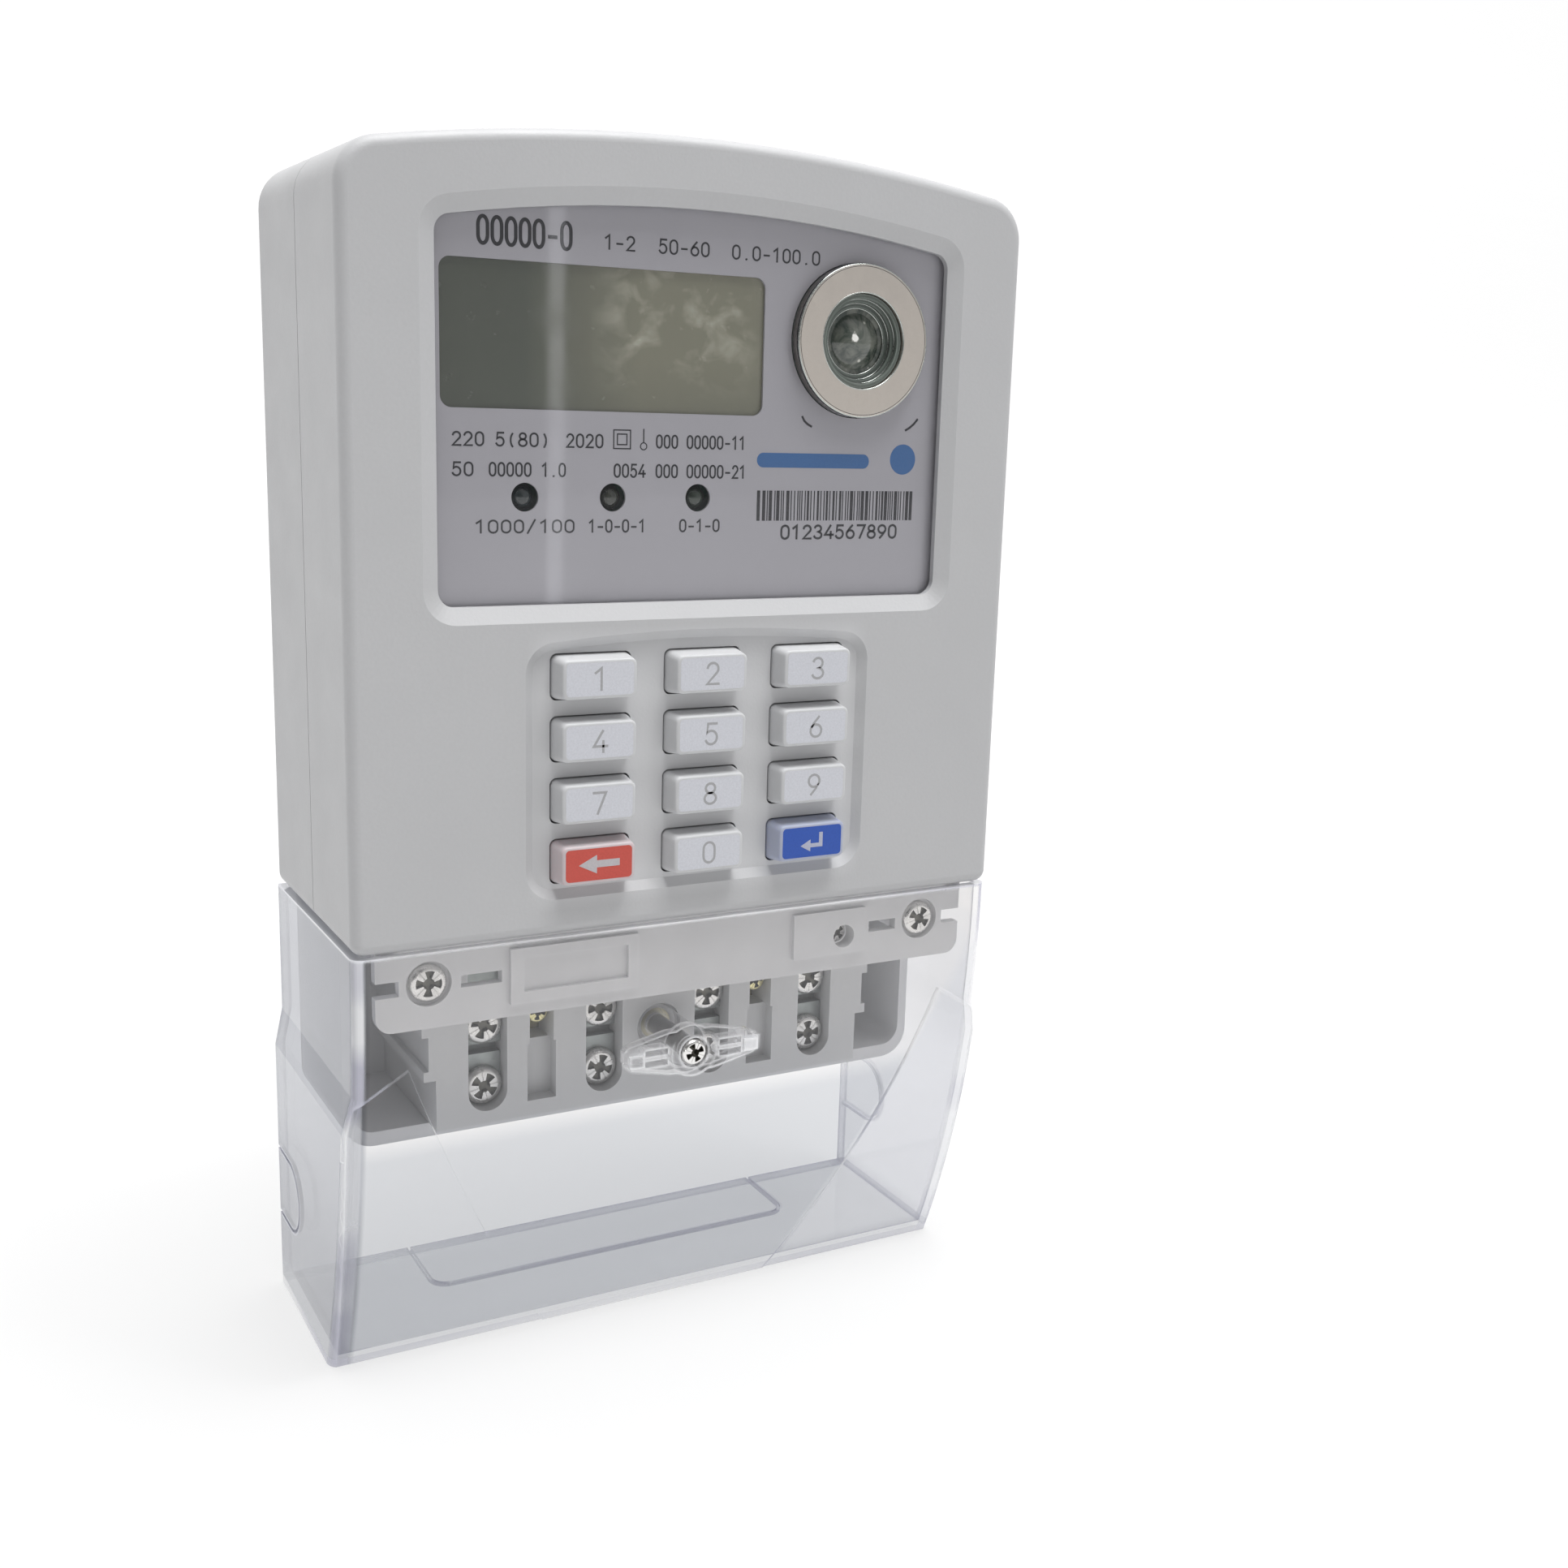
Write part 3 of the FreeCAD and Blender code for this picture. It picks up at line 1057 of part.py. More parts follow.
# ---------------------------------------------------------------- assembly
def build():
    parts["front_case"] = make_front_case()
    parts["rear_base"] = make_rear_base()
    parts["case_gasket"] = make_case_gasket()
    parts["wall_hanger"] = make_wall_hanger()
    parts["window_pane"] = make_window_pane()
    parts["label_plate"] = make_label_plate()
    parts["display_glass"] = make_display_glass()
    parts["display_light_guide"] = make_display_light_guide()
    for name, x in LAMP_X.items():
        parts[name] = make_lamp(x)
    parts["port_ring"] = make_port_ring()
    parts["port_well"] = make_port_well()
    parts["port_lens"] = make_port_lens()
    parts["infrared_diodes"] = make_infrared_diodes()
    for name, x, z in key_places():
        parts[name] = make_key(x, z)
    parts["keypad_mat"] = make_keypad_mat()
    parts["display_board"] = board(DISPLAY_BOARD_FRONT_Y, BOARD_TOP)
    parts["display_board_screws"] = board_screws(
        DISPLAY_BOARD_FRONT_Y + BOARD_THICKNESS, DISPLAY_BOARD_FRONT_Y - 3.0, 1)
    parts["main_board"] = board(MAIN_BOARD_FRONT_Y, BOARD_TOP)
    parts["main_board_screws"] = board_screws(MAIN_BOARD_FRONT_Y, MAIN_BOARD_FRONT_Y + 5.0, -1)
    parts["board_spacers"] = make_board_spacers()
    parts["link_board"] = make_link_board()
    parts["board_chips"] = make_board_chips()
    parts["supply_transformer"] = make_supply_transformer()
    parts["smoothing_capacitors"] = make_capacitors()
    parts["surge_varistor"] = make_surge_varistor()
    parts["backup_battery"] = make_backup_battery()
    parts["buzzer"] = make_buzzer()
    parts["latching_relay"] = make_latching_relay()
    parts["current_shunt"] = make_shunt()
    parts["line_in_bar"] = make_bar(MAIN_TERMINALS["terminal_line_in"], LINE_IN_BAR_TOP)
    parts["line_out_bar"] = make_bar(MAIN_TERMINALS["terminal_line_out"], LINE_OUT_BAR_TOP)
    parts["neutral_bar"] = make_neutral_bar()
    parts["terminal_block"] = make_terminal_block()
    parts["terminal_carrier"] = make_terminal_carrier()
    for name, x in MAIN_TERMINALS.items():
        parts[name] = make_clamp(x)
    parts["terminal_screws"] = make_terminal_screws()
    parts["aux_terminals"] = make_aux_terminals()
    parts["aux_screws"] = make_aux_screws()
    parts["screw_insert"] = make_screw_insert()
    parts["case_screws"] = make_case_screws()
    parts["service_screw"] = make_service_screw()
    parts["terminal_cover"] = make_terminal_cover()
    parts["cover_screw"] = make_cover_screw()


def save():
    os.makedirs("parts", exist_ok=True)
    for name, shape in parts.items():
        state = "valid" if shape.isValid() else "NOT VALID"
        print(name, len(shape.Solids), "solid(s)", round(shape.Volume), "mm3", state)
        shape.exportStep("parts/" + name + ".step")


build()
save()
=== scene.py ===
import math
import random

import bmesh
import bpy
from mathutils import Matrix, Vector


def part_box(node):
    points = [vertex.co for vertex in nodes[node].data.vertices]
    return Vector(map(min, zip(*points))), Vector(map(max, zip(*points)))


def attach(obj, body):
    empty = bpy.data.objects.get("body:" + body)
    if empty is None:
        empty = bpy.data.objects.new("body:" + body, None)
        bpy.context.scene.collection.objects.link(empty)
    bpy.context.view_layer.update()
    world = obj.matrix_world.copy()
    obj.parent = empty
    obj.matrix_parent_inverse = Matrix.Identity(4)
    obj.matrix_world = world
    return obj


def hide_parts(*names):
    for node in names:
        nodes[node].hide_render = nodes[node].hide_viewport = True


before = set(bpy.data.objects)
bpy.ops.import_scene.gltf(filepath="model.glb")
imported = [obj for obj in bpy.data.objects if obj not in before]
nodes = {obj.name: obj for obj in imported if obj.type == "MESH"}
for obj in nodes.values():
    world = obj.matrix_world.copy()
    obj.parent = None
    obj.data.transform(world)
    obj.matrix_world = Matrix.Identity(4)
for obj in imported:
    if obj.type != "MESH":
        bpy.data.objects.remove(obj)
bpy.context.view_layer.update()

MM = 0.001

# The camera that took the photograph, in metres and radians.
CAMERA_PLACE = (-0.142769, -0.312569, 0.182403)
CAMERA_YAW, CAMERA_PITCH, CAMERA_ROLL = 0.510, -0.212, 0.031
CAMERA_LENS, SENSOR_WIDTH, CAMERA_NEAR = 39.857, 36.0, 0.01

# The floor is flat under the meter and curves up far behind it, in metres.
FLOOR_FRONT, FLOOR_HALF_WIDTH = -3.0, 5.0
SWEEP_START, SWEEP_RADIUS, SWEEP_STEPS, BACKDROP_TOP = 1.6, 0.8, 24, 5.0
FLOOR_TONE, FLOOR_GLOW, FAR_GLOW = 0.22, 0.69, 0.86
GLOW_CHANGE = (0.05, 0.9)

# The room is even and white, and darker towards the front left.
ROOM_LIGHT, ROOM_DARK = 0.45, 0.08
ROOM_COOLNESS = 1.015
DARK_SIDE = (-0.62, -0.78, 0.05)
DARK_START, DARK_FULL = 0.45, 0.97

# Each lamp's place, target, size in metres and power in watts.
LAMPS = {
    "ceiling_lamp": ((0.2, -0.35, 2.2), (0, 0, 0.12), (1.3, 1.3), 54),
    "spark_lamp": ((0.32, -0.42, 1.7), (0, 0, 0.12), (0.14, 0.14), 3.0),
    "window_strip": ((0.352, -0.989, 0.15), (-0.028, -0.025, 0.17), (0.012, 1.6), 0.14),
}


# ---------------------------------------------------------------- camera, floor and light
def make_camera():
    """Camera in front of the meter and to its left, near its top, looking slightly down."""
    yaw, pitch, roll = CAMERA_YAW, CAMERA_PITCH, CAMERA_ROLL
    forward = Vector((math.sin(yaw) * math.cos(pitch), math.cos(yaw) * math.cos(pitch),
                      math.sin(pitch)))
    level = Vector((math.cos(yaw), -math.sin(yaw), 0))
    upright = level.cross(forward)
    right = math.cos(roll) * level + math.sin(roll) * upright
    up = -math.sin(roll) * level + math.cos(roll) * upright
    data = bpy.data.cameras.new("camera")
    data.lens = CAMERA_LENS
    data.sensor_width = SENSOR_WIDTH
    data.clip_start = CAMERA_NEAR
    camera = link(bpy.data.objects.new("camera", data))
    turn = Matrix((right, up, -forward)).transposed()
    camera.matrix_world = Matrix.Translation(Vector(CAMERA_PLACE)) @ turn.to_4x4()
    bpy.context.scene.camera = camera


def link(obj):
    """Puts an object in the scene."""
    bpy.context.scene.collection.objects.link(obj)
    return obj


def make_floor():
    """White sweep: flat under the meter, curved up far behind it."""
    line = [(FLOOR_FRONT, 0.0), (SWEEP_START, 0.0)]
    for i in range(1, SWEEP_STEPS + 1):
        a = math.pi / 2 * i / SWEEP_STEPS
        line.append((SWEEP_START + SWEEP_RADIUS * math.sin(a), SWEEP_RADIUS * (1 - math.cos(a))))
    line.append((SWEEP_START + SWEEP_RADIUS, BACKDROP_TOP))
    vertices = []
    for y, z in line:
        vertices += [(-FLOOR_HALF_WIDTH, y, z), (FLOOR_HALF_WIDTH, y, z)]
    faces = [(2 * i, 2 * i + 1, 2 * i + 3, 2 * i + 2) for i in range(len(line) - 1)]
    floor = mesh_piece("floor", vertices, faces)
    paint = Paint("floor_white", (FLOOR_TONE, FLOOR_TONE, FLOOR_TONE), 0.9)
    paint.set("Specular IOR Level", 0.1)
    paint.set("Emission Color", (1, 1, 1, 1))
    glow = paint.span(paint.axis("Y"), *GLOW_CHANGE, FLOOR_GLOW, FAR_GLOW)
    paint.set("Emission Strength", glow)
    floor.data.materials.append(paint.material)


def area_light(name, place, target, size, power):
    """White rectangular lamp that shines towards its target."""
    data = bpy.data.lights.new(name, "AREA")
    data.shape = "RECTANGLE"
    data.size, data.size_y = size
    data.energy = power
    lamp = link(bpy.data.objects.new(name, data))
    lamp.location = place
    lamp.rotation_mode = "QUATERNION"
    lamp.rotation_quaternion = (Vector(target) - Vector(place)).to_track_quat("-Z", "Y")


def make_light():
    """White room with a darker side, and the lamps."""
    world = bpy.data.worlds.new("world")
    bpy.context.scene.world = world
    world.use_nodes = True
    tree = world.node_tree
    sky = tree.nodes["Background"]
    coords = tree.nodes.new("ShaderNodeTexCoord")
    toward = tree.nodes.new("ShaderNodeVectorMath")
    toward.operation = "DOT_PRODUCT"
    toward.inputs[1].default_value = Vector(DARK_SIDE).normalized()
    tree.links.new(coords.outputs["Generated"], toward.inputs[0])
    ramp = tree.nodes.new("ShaderNodeValToRGB")
    ramp.color_ramp.interpolation = "EASE"
    light_end, dark_end = ramp.color_ramp.elements
    light_end.position, dark_end.position = DARK_START, DARK_FULL
    light_end.color = (ROOM_LIGHT, ROOM_LIGHT, ROOM_LIGHT * ROOM_COOLNESS, 1)
    dark_end.color = (ROOM_DARK, ROOM_DARK, ROOM_DARK, 1)
    tree.links.new(toward.outputs["Value"], ramp.inputs[0])
    tree.links.new(ramp.outputs["Color"], sky.inputs["Color"])
    for name, (place, target, size, power) in LAMPS.items():
        area_light(name, place, target, size, power)


# ---------------------------------------------------------------- meshes
def mesh_piece(name, vertices, faces, material=None):
    """Object from points in the CAD frame, in metres."""
    mesh = bpy.data.meshes.new(name)
    mesh.from_pydata([tuple(v) for v in vertices], [], faces)
    mesh.update()
    if material:
        mesh.materials.append(material)
    return link(bpy.data.objects.new(name, mesh))


def smooth_by_angle(piece, degrees):
    """Smooth shading, with edges sharper than the angle kept crisp."""
    mesh = piece.data
    mesh.shade_smooth()
    build = bmesh.new()
    build.from_mesh(mesh)
    limit = math.radians(degrees)
    for edge in build.edges:
        if len(edge.link_faces) == 2 and edge.calc_face_angle(0) > limit:
            edge.smooth = False
    build.to_mesh(mesh)
    build.free()


def add_piece(name, body, look, shape, replaced=(), angle=35):
    """Piece from a shape in millimetres; edges sharper than the angle stay crisp."""
    vertices = [Vector(v) * MM for v in shape.vertices]
    piece = mesh_piece(name, vertices, shape.faces, mats[look])
    smooth_by_angle(piece, angle)
    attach(piece, body)
    if replaced:
        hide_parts(*replaced)
    return piece


class Shape:
    """Points in millimetres and faces, gathered before they become one object."""

    def __init__(self):
        self.vertices = []
        self.faces = []

    def ring(self, points):
        """Adds points and returns their numbers."""
        first = len(self.vertices)
        self.vertices += points
        return list(range(first, first + len(points)))

    def bridge(self, a, b):
        """Joins two closed rings with a band of faces."""
        n = len(a)
        for i in range(n):
            j = (i + 1) % n
            self.faces.append((a[i], a[j], b[j], b[i]))

    def loft(self, rings):
        """Closed skin through rings of equally many points, given from the front to the back."""
        indices = [self.ring(r) for r in rings]
        for near, far in zip(indices, indices[1:]):
            self.bridge(far, near)
        self.faces.append(tuple(indices[0]))
        self.faces.append(tuple(reversed(indices[-1])))


def rounded_loop(cx, cz, half_x, half_z, radius, y, steps=5):
    """Rounded rectangle in a plane of constant Y, clockwise seen from the front."""
    points = []
    for sx, sz, start in ((1, 1, 90), (1, -1, 0), (-1, -1, -90), (-1, 1, -180)):
        for i in range(steps + 1):
            a = math.radians(start - 90 * i / steps)
            points.append((cx + sx * (half_x - radius) + radius * math.cos(a), y,
                           cz + sz * (half_z - radius) + radius * math.sin(a)))
    return points


# ---------------------------------------------------------------- printed strokes
def arc(cx, cz, rx, rz, start, end, steps=14):
    """Points along an ellipse, angles in degrees."""
    turn = [math.radians(start + (end - start) * i / steps) for i in range(steps + 1)]
    return [(cx + rx * math.cos(a), cz + rz * math.sin(a)) for a in turn]


# How far print stands in front of what it is printed on, in millimetres.
PRINT_DEPTH = 0.03

# Strokes of each figure as points (x, z), on a cell one unit high.
GLYPH_PITCH = 0.78
GLYPH_GAP = 0.25
GLYPHS = {
    "0": [arc(0.3, 0.68, 0.26, 0.32, 0, 180) + arc(0.3, 0.32, 0.26, 0.32, 180, 360)
          + [(0.56, 0.68)]],
    "1": [[(0.08, 0.78), (0.34, 1.0), (0.34, 0.0)]],
    "2": [arc(0.3, 0.72, 0.25, 0.28, 170, -38) + [(0.04, 0.0), (0.58, 0.0)]],
    "3": [arc(0.29, 0.755, 0.23, 0.245, 160, -90) + arc(0.29, 0.255, 0.27, 0.255, 90, -160)],
    "4": [[(0.42, 1.0), (0.03, 0.28), (0.62, 0.28)], [(0.44, 0.52), (0.44, 0.0)]],
    "5": [[(0.54, 1.0), (0.13, 1.0), (0.09, 0.56)] + arc(0.28, 0.33, 0.27, 0.33, 128, -155)],
    "6": [[(0.44, 1.0), (0.2, 0.7)] + arc(0.3, 0.31, 0.27, 0.31, 140, 500)],
    "7": [[(0.03, 1.0), (0.58, 1.0), (0.22, 0.0)]],
    "8": [arc(0.3, 0.765, 0.22, 0.235, 0, 360), arc(0.3, 0.265, 0.27, 0.265, 0, 360)],
    "9": [[(0.16, 0.0), (0.4, 0.3)] + arc(0.3, 0.69, 0.27, 0.31, -40, -400)],
    "-": [[(0.1, 0.42), (0.5, 0.42)]],
    ".": [[(0.27, 0.0), (0.33, 0.03)]],
    ":": [[(0.27, 0.2), (0.33, 0.23)], [(0.27, 0.7), (0.33, 0.73)]],
    "(": [arc(0.62, 0.45, 0.38, 0.66, 130, 230, 8)],
    ")": [arc(-0.02, 0.45, 0.38, 0.66, 50, -50, 8)],
    "/": [[(0.05, -0.05), (0.5, 1.05)]],
    " ": [],
}


def ribbon(shape, points, width, y, depth):
    """Thin closed strip of even width along points (x, z), with its front at y."""
    clean = [points[0]]
    for p in points[1:]:
        if math.dist(p, clean[-1]) > width * 0.02:
            clean.append(p)
    closed = len(clean) > 3 and math.dist(clean[0], clean[-1]) < width * 0.1
    if closed:
        clean[-1] = clean[0]
    left, right = [], []
    last = len(clean) - 1
    for i, (x, z) in enumerate(clean):
        before = clean[i - 1] if i > 0 else (clean[last - 1] if closed else None)
        after = clean[i + 1] if i < last else (clean[1] if closed else None)
        ways = []
        if before:
            ways.append(Vector((x - before[0], z - before[1])).normalized())
        if after:
            ways.append(Vector((after[0] - x, after[1] - z)).normalized())
        along = sum(ways, Vector((0, 0))).normalized()
        across = Vector((-along.y, along.x))
        reach = width / 2 / max(0.5, along.dot(ways[0]))
        push = Vector((0, 0))
        if not closed and i in (0, last):
            push = along * (width * 0.35) * (-1 if i == 0 else 1)
        left.append((x + across.x * reach + push.x, z + across.y * reach + push.y))
        right.append((x - across.x * reach + push.x, z - across.y * reach + push.y))
    rows = []
    for side, depth_y in ((left, y), (right, y), (right, y + depth), (left, y + depth)):
        rows.append(shape.ring([(px, depth_y, pz) for px, pz in side]))
    for i in range(last):
        for k in range(4):
            a, b = rows[k], rows[(k + 1) % 4]
            shape.faces.append((a[i], b[i], b[i + 1], a[i + 1]))
    if not closed:
        shape.faces.append((rows[3][0], rows[2][0], rows[1][0], rows[0][0]))
        shape.faces.append((rows[0][last], rows[1][last], rows[2][last], rows[3][last]))


def film(shape, points, y, depth):
    """Thin closed plate whose outline is points (x, z), clockwise seen from the front."""
    shape.loft([[(x, y, z) for x, z in points], [(x, y + depth, z) for x, z in points]])


def write(shape, text, x, z, height, width, stroke, y, depth=PRINT_DEPTH):
    """Digits and marks that start at x on the line z and end at x + width."""
    pitch = width / (len(text) - GLYPH_GAP)
    scale_x = pitch / GLYPH_PITCH
    for k, mark in enumerate(text):
        for stroke_points in GLYPHS[mark]:
            placed = [(x + k * pitch + px * scale_x, z + pz * height) for px, pz in stroke_points]
            ribbon(shape, placed, stroke, y, depth)


# ---------------------------------------------------------------- materials
class Paint:
    """Material with one Principled shader, and short calls for the textures that feed it."""

    def __init__(self, name, colour, roughness, metallic=0.0):
        self.material = bpy.data.materials.new(name)
        self.material.use_nodes = True
        self.tree = self.material.node_tree
        self.shader = self.tree.nodes["Principled BSDF"]
        self.coords = self.add("ShaderNodeTexCoord").outputs["Object"]
        self.set("Base Color", (*colour, 1))
        self.set("Roughness", roughness)
        self.set("Metallic", metallic)

    def add(self, kind, **settings):
        """New shader node."""
        node = self.tree.nodes.new(kind)
        for key, value in settings.items():
            setattr(node, key, value)
        return node

    def feed(self, socket, value):
        """Links a socket to another node's output, or sets it to a plain value."""
        if isinstance(value, bpy.types.NodeSocket):
            self.tree.links.new(value, socket)
        else:
            socket.default_value = value

    def set(self, socket, value):
        """Feeds the Principled shader."""
        self.feed(self.shader.inputs[socket], value)

    def stretched(self, scale):
        """Place on the object, scaled along each axis."""
        mapping = self.add("ShaderNodeMapping")
        self.feed(mapping.inputs["Vector"], self.coords)
        mapping.inputs["Scale"].default_value = scale
        return mapping.outputs["Vector"]

    def noise(self, scale, detail=3.0, rough=0.55, stretch=None, distortion=0.0):
        """Noise with features about 1/scale metres across."""
        texture = self.add("ShaderNodeTexNoise")
        self.feed(texture.inputs["Vector"], self.stretched(stretch) if stretch else self.coords)
        texture.inputs["Scale"].default_value = scale
        texture.inputs["Detail"].default_value = detail
        texture.inputs["Roughness"].default_value = rough
        texture.inputs["Distortion"].default_value = distortion
        return texture.outputs["Fac"]

    def cells(self, scale):
        """Distance to the nearest of many scattered points, about 1/scale metres apart."""
        texture = self.add("ShaderNodeTexVoronoi")
        self.feed(texture.inputs["Vector"], self.coords)
        texture.inputs["Scale"].default_value = scale
        return texture.outputs["Distance"]

    def math(self, operation, a, b=0.0, clamp=False):
        """Result of one operation on two values or sockets."""
        node = self.add("ShaderNodeMath", operation=operation, use_clamp=clamp)
        self.feed(node.inputs[0], a)
        self.feed(node.inputs[1], b)
        return node.outputs[0]

    def product(self, first, *others):
        """All values multiplied together."""
        for other in others:
            first = self.math("MULTIPLY", first, other)
        return first

    def span(self, value, low, high, to_low=0.0, to_high=1.0):
        """Straight line from low..high to to_low..to_high, held at both ends."""
        node = self.add("ShaderNodeMapRange")
        self.feed(node.inputs["Value"], value)
        for socket, number in zip(("From Min", "From Max", "To Min", "To Max"),
                                  (low, high, to_low, to_high)):
            node.inputs[socket].default_value = number
        return node.outputs["Result"]

    def mix(self, factor, a, b):
        """Colour a where the factor is 0, colour b where it is 1."""
        node = self.add("ShaderNodeMix", data_type="RGBA")
        self.feed(node.inputs[0], factor)
        for socket, colour in ((node.inputs[6], a), (node.inputs[7], b)):
            if not isinstance(colour, bpy.types.NodeSocket):
                colour = (*colour, 1)
            self.feed(socket, colour)
        return node.outputs[2]

    def axis(self, name, vector=None):
        """One part of a vector, by default of the place on the object in metres."""
        split = self.add("ShaderNodeSeparateXYZ")
        self.feed(split.inputs[0], vector or self.coords)
        return split.outputs[name]

    def facing(self, name):
        """How squarely the surface faces along an axis, 0 to 1."""
        normal = self.add("ShaderNodeNewGeometry").outputs["True Normal"]
        return self.math("ABSOLUTE", self.axis(name, normal))

    def creases(self, distance):
        """1 in the open, lower in grooves and corners."""
        node = self.add("ShaderNodeAmbientOcclusion", samples=4)
        node.inputs["Distance"].default_value = distance
        return node.outputs["AO"]

    def edges(self, radius):
        """About 1 on sharp edges and 0 on flats."""
        bevel = self.add("ShaderNodeBevel", samples=3)
        bevel.inputs["Radius"].default_value = radius
        geometry = self.add("ShaderNodeNewGeometry")
        dot = self.add("ShaderNodeVectorMath", operation="DOT_PRODUCT")
        self.feed(dot.inputs[0], bevel.outputs["Normal"])
        self.feed(dot.inputs[1], geometry.outputs["True Normal"])
        return self.span(dot.outputs["Value"], 0.98, 0.86)

    def turned_away(self):
        """0 where the surface is seen square on, 1 where it is seen edge on."""
        weight = self.add("ShaderNodeLayerWeight")
        weight.inputs["Blend"].default_value = 0.5
        return weight.outputs["Facing"]

    def mirror(self, turned_away, straight):
        """Share of light a clear surface reflects, the same from inside as from outside."""
        slanting = self.math("MULTIPLY", self.math("POWER", turned_away, 5.0), 0.9)
        return self.math("ADD", slanting, straight)

    def bump(self, height, strength, distance, under=None):
        """Relief up to the distance in metres, on top of the relief under it."""
        node = self.add("ShaderNodeBump")
        node.inputs["Strength"].default_value = strength
        node.inputs["Distance"].default_value = distance
        self.feed(node.inputs["Height"], height)
        if under:
            self.feed(node.inputs["Normal"], under)
        self.set("Normal", node.outputs["Normal"])
        return node.outputs["Normal"]


def centre_of(node):
    """Middle of a CAD node's box, in millimetres."""
    low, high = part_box(node)
    return (low + high) / 2 / MM


def shade(colour, factor):
    """Lighter or darker colour."""
    return tuple(c * factor for c in colour)


# Zones of the case in metres, each as (where it is 0, where it is 1).
COVERED_Z, COVERED_Y = (0.0868, 0.0862), (0.0288, 0.0280)
KEYPAD_MARGIN, KEYPAD_Y = 0.004, (-0.0180, -0.0200)
SILL_Y, SILL_BOTTOM, SILL_TOP = (-0.0200, -0.0210), (0.1430, 0.1440), (0.1500, 0.1490)
# How much lighter than the case the keypad's floor and the window's sill are painted, as painted
# light.
KEYPAD_PAINTED_LIGHT, SILL_PAINTED_LIGHT = 1.16, 1.24


def moulded(name, colour, roughness=0.48, grain=2400, grain_depth=0.00006, crease_dust_and_shade=0.8, wear=1.05,
            painted_light_behind_cover=1.0):
    """Moulded plastic: eroded tool texture, cloudy tone, dust and painted shade in creases,
    polish on edges.

    The last argument is how much lighter it is painted behind the terminal cover: painted light.
    There the creases get stronger painted shade, the edges a painted highlight, and the keypad's
    floor and the window's sill are painted lighter."""
    p = Paint(name, colour, roughness)
    cloud = p.span(p.noise(22, 3), 0.3, 0.7)
    speck = p.span(p.noise(1500, 2), 0.35, 0.65)
    tone = p.mix(cloud, shade(colour, 0.975), shade(colour, 1.02))
    tone = p.mix(p.math("MULTIPLY", speck, 0.3), tone, shade(colour, 0.94))
    # Darker in creases and where other parts stand close: dust and painted shade.
    dust_and_shade = p.span(p.creases(0.004), 0.35, 0.9, 1.0, 0.0)
    dust_and_shade = p.math("MULTIPLY", dust_and_shade, p.span(p.noise(160, 4), 0.25, 0.6, 0.5, 1.0))
    tone = p.mix(dust_and_shade, tone, shade(colour, crease_dust_and_shade))
    edge = p.edges(0.0006)
    tone = p.mix(edge, tone, shade(colour, wear))
    # The mask clean marks where the case lies behind the terminal cover. There it is painted
    # lighter as painted light, with painted shade in its creases and a painted highlight on its
    # edges.
    if painted_light_behind_cover > 1:
        clean = p.math("MULTIPLY", p.span(p.axis("Z"), *COVERED_Z), p.span(p.axis("Y"), *COVERED_Y))
        shaded = p.mix(p.math("MULTIPLY", dust_and_shade, 0.22), shade(colour, painted_light_behind_cover), shade(colour, 0.9))
        shaded = p.mix(p.math("MULTIPLY", edge, 0.5), shaded, shade(colour, painted_light_behind_cover * 1.08))
        tone = p.mix(clean, tone, shaded)
        # The keypad's floor is painted lighter: painted light.
        tone = p.mix(keypad_area(p), tone, shade(colour, KEYPAD_PAINTED_LIGHT))
        # The slope under the window is painted lighter: painted highlight.
        tone = p.mix(window_sill(p), tone, shade(colour, SILL_PAINTED_LIGHT))
    p.set("Base Color", tone)
    matte = p.span(p.noise(90, 4), 0.3, 0.7, roughness - 0.05, roughness + 0.06)
    p.set("Roughness", p.math("SUBTRACT", matte, p.math("MULTIPLY", edge, 0.1)))
    swell = p.bump(p.noise(45, 1), 0.12, 0.0006)
    pits = p.math("ADD", p.noise(grain, 3, 0.6), p.math("MULTIPLY", p.cells(grain * 0.6), 0.6))
    p.bump(pits, 0.35, grain_depth, swell)
    return p.material


def keypad_area(p):
    """1 on the recess floor between the keys, where the case is painted lighter as painted light.
    """
    low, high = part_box("key_delete")[0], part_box("key_3")[1]
    x, z = p.axis("X"), p.axis("Z")
    return p.product(p.span(x, low.x - KEYPAD_MARGIN, low.x),
                     p.span(x, high.x + KEYPAD_MARGIN, high.x),
                     p.span(z, low.z - KEYPAD_MARGIN, low.z), p.span(p.axis("Y"), *KEYPAD_Y),
                     p.span(z, high.z + KEYPAD_MARGIN, high.z))


def window_sill(p):
    """1 on the slope under the window, which catches the ceiling's light and is painted lighter as
    a painted highlight.
    """
    z = p.axis("Z")
    return p.product(p.span(p.facing("Z"), 0.25, 0.5), p.span(p.axis("Y"), *SILL_Y),
                     p.span(z, *SILL_BOTTOM), p.span(z, *SILL_TOP))


def metal(name, colour, roughness, streak=(1, 1, 1), scale=900, tarnish=0.75, lines=0.15,
          reach=0.0025):
    """Plated or bare metal: fine tool lines, patchy tarnish, painted shade in recesses closer than
    reach.
    """
    p = Paint(name, colour, roughness, 1.0)
    patch = p.span(p.noise(260, 5, 0.6), 0.42, 0.66)
    tone = p.mix(p.math("MULTIPLY", patch, 0.55), colour, shade(colour, tarnish))
    # Darker in recesses closer than reach: painted shade.
    tone = p.mix(p.span(p.creases(reach), 0.3, 0.85, 1.0, 0.0), tone, shade(colour, 0.45))
    p.set("Base Color", tone)
    fine = p.noise(scale, 4, 0.6, stretch=streak)
    p.set("Roughness", p.math("ADD", p.span(fine, 0.3, 0.7, roughness - 0.06, roughness + 0.1),
                              p.math("MULTIPLY", patch, 0.12)))
    p.bump(fine, lines, 0.00004)
    return p.material


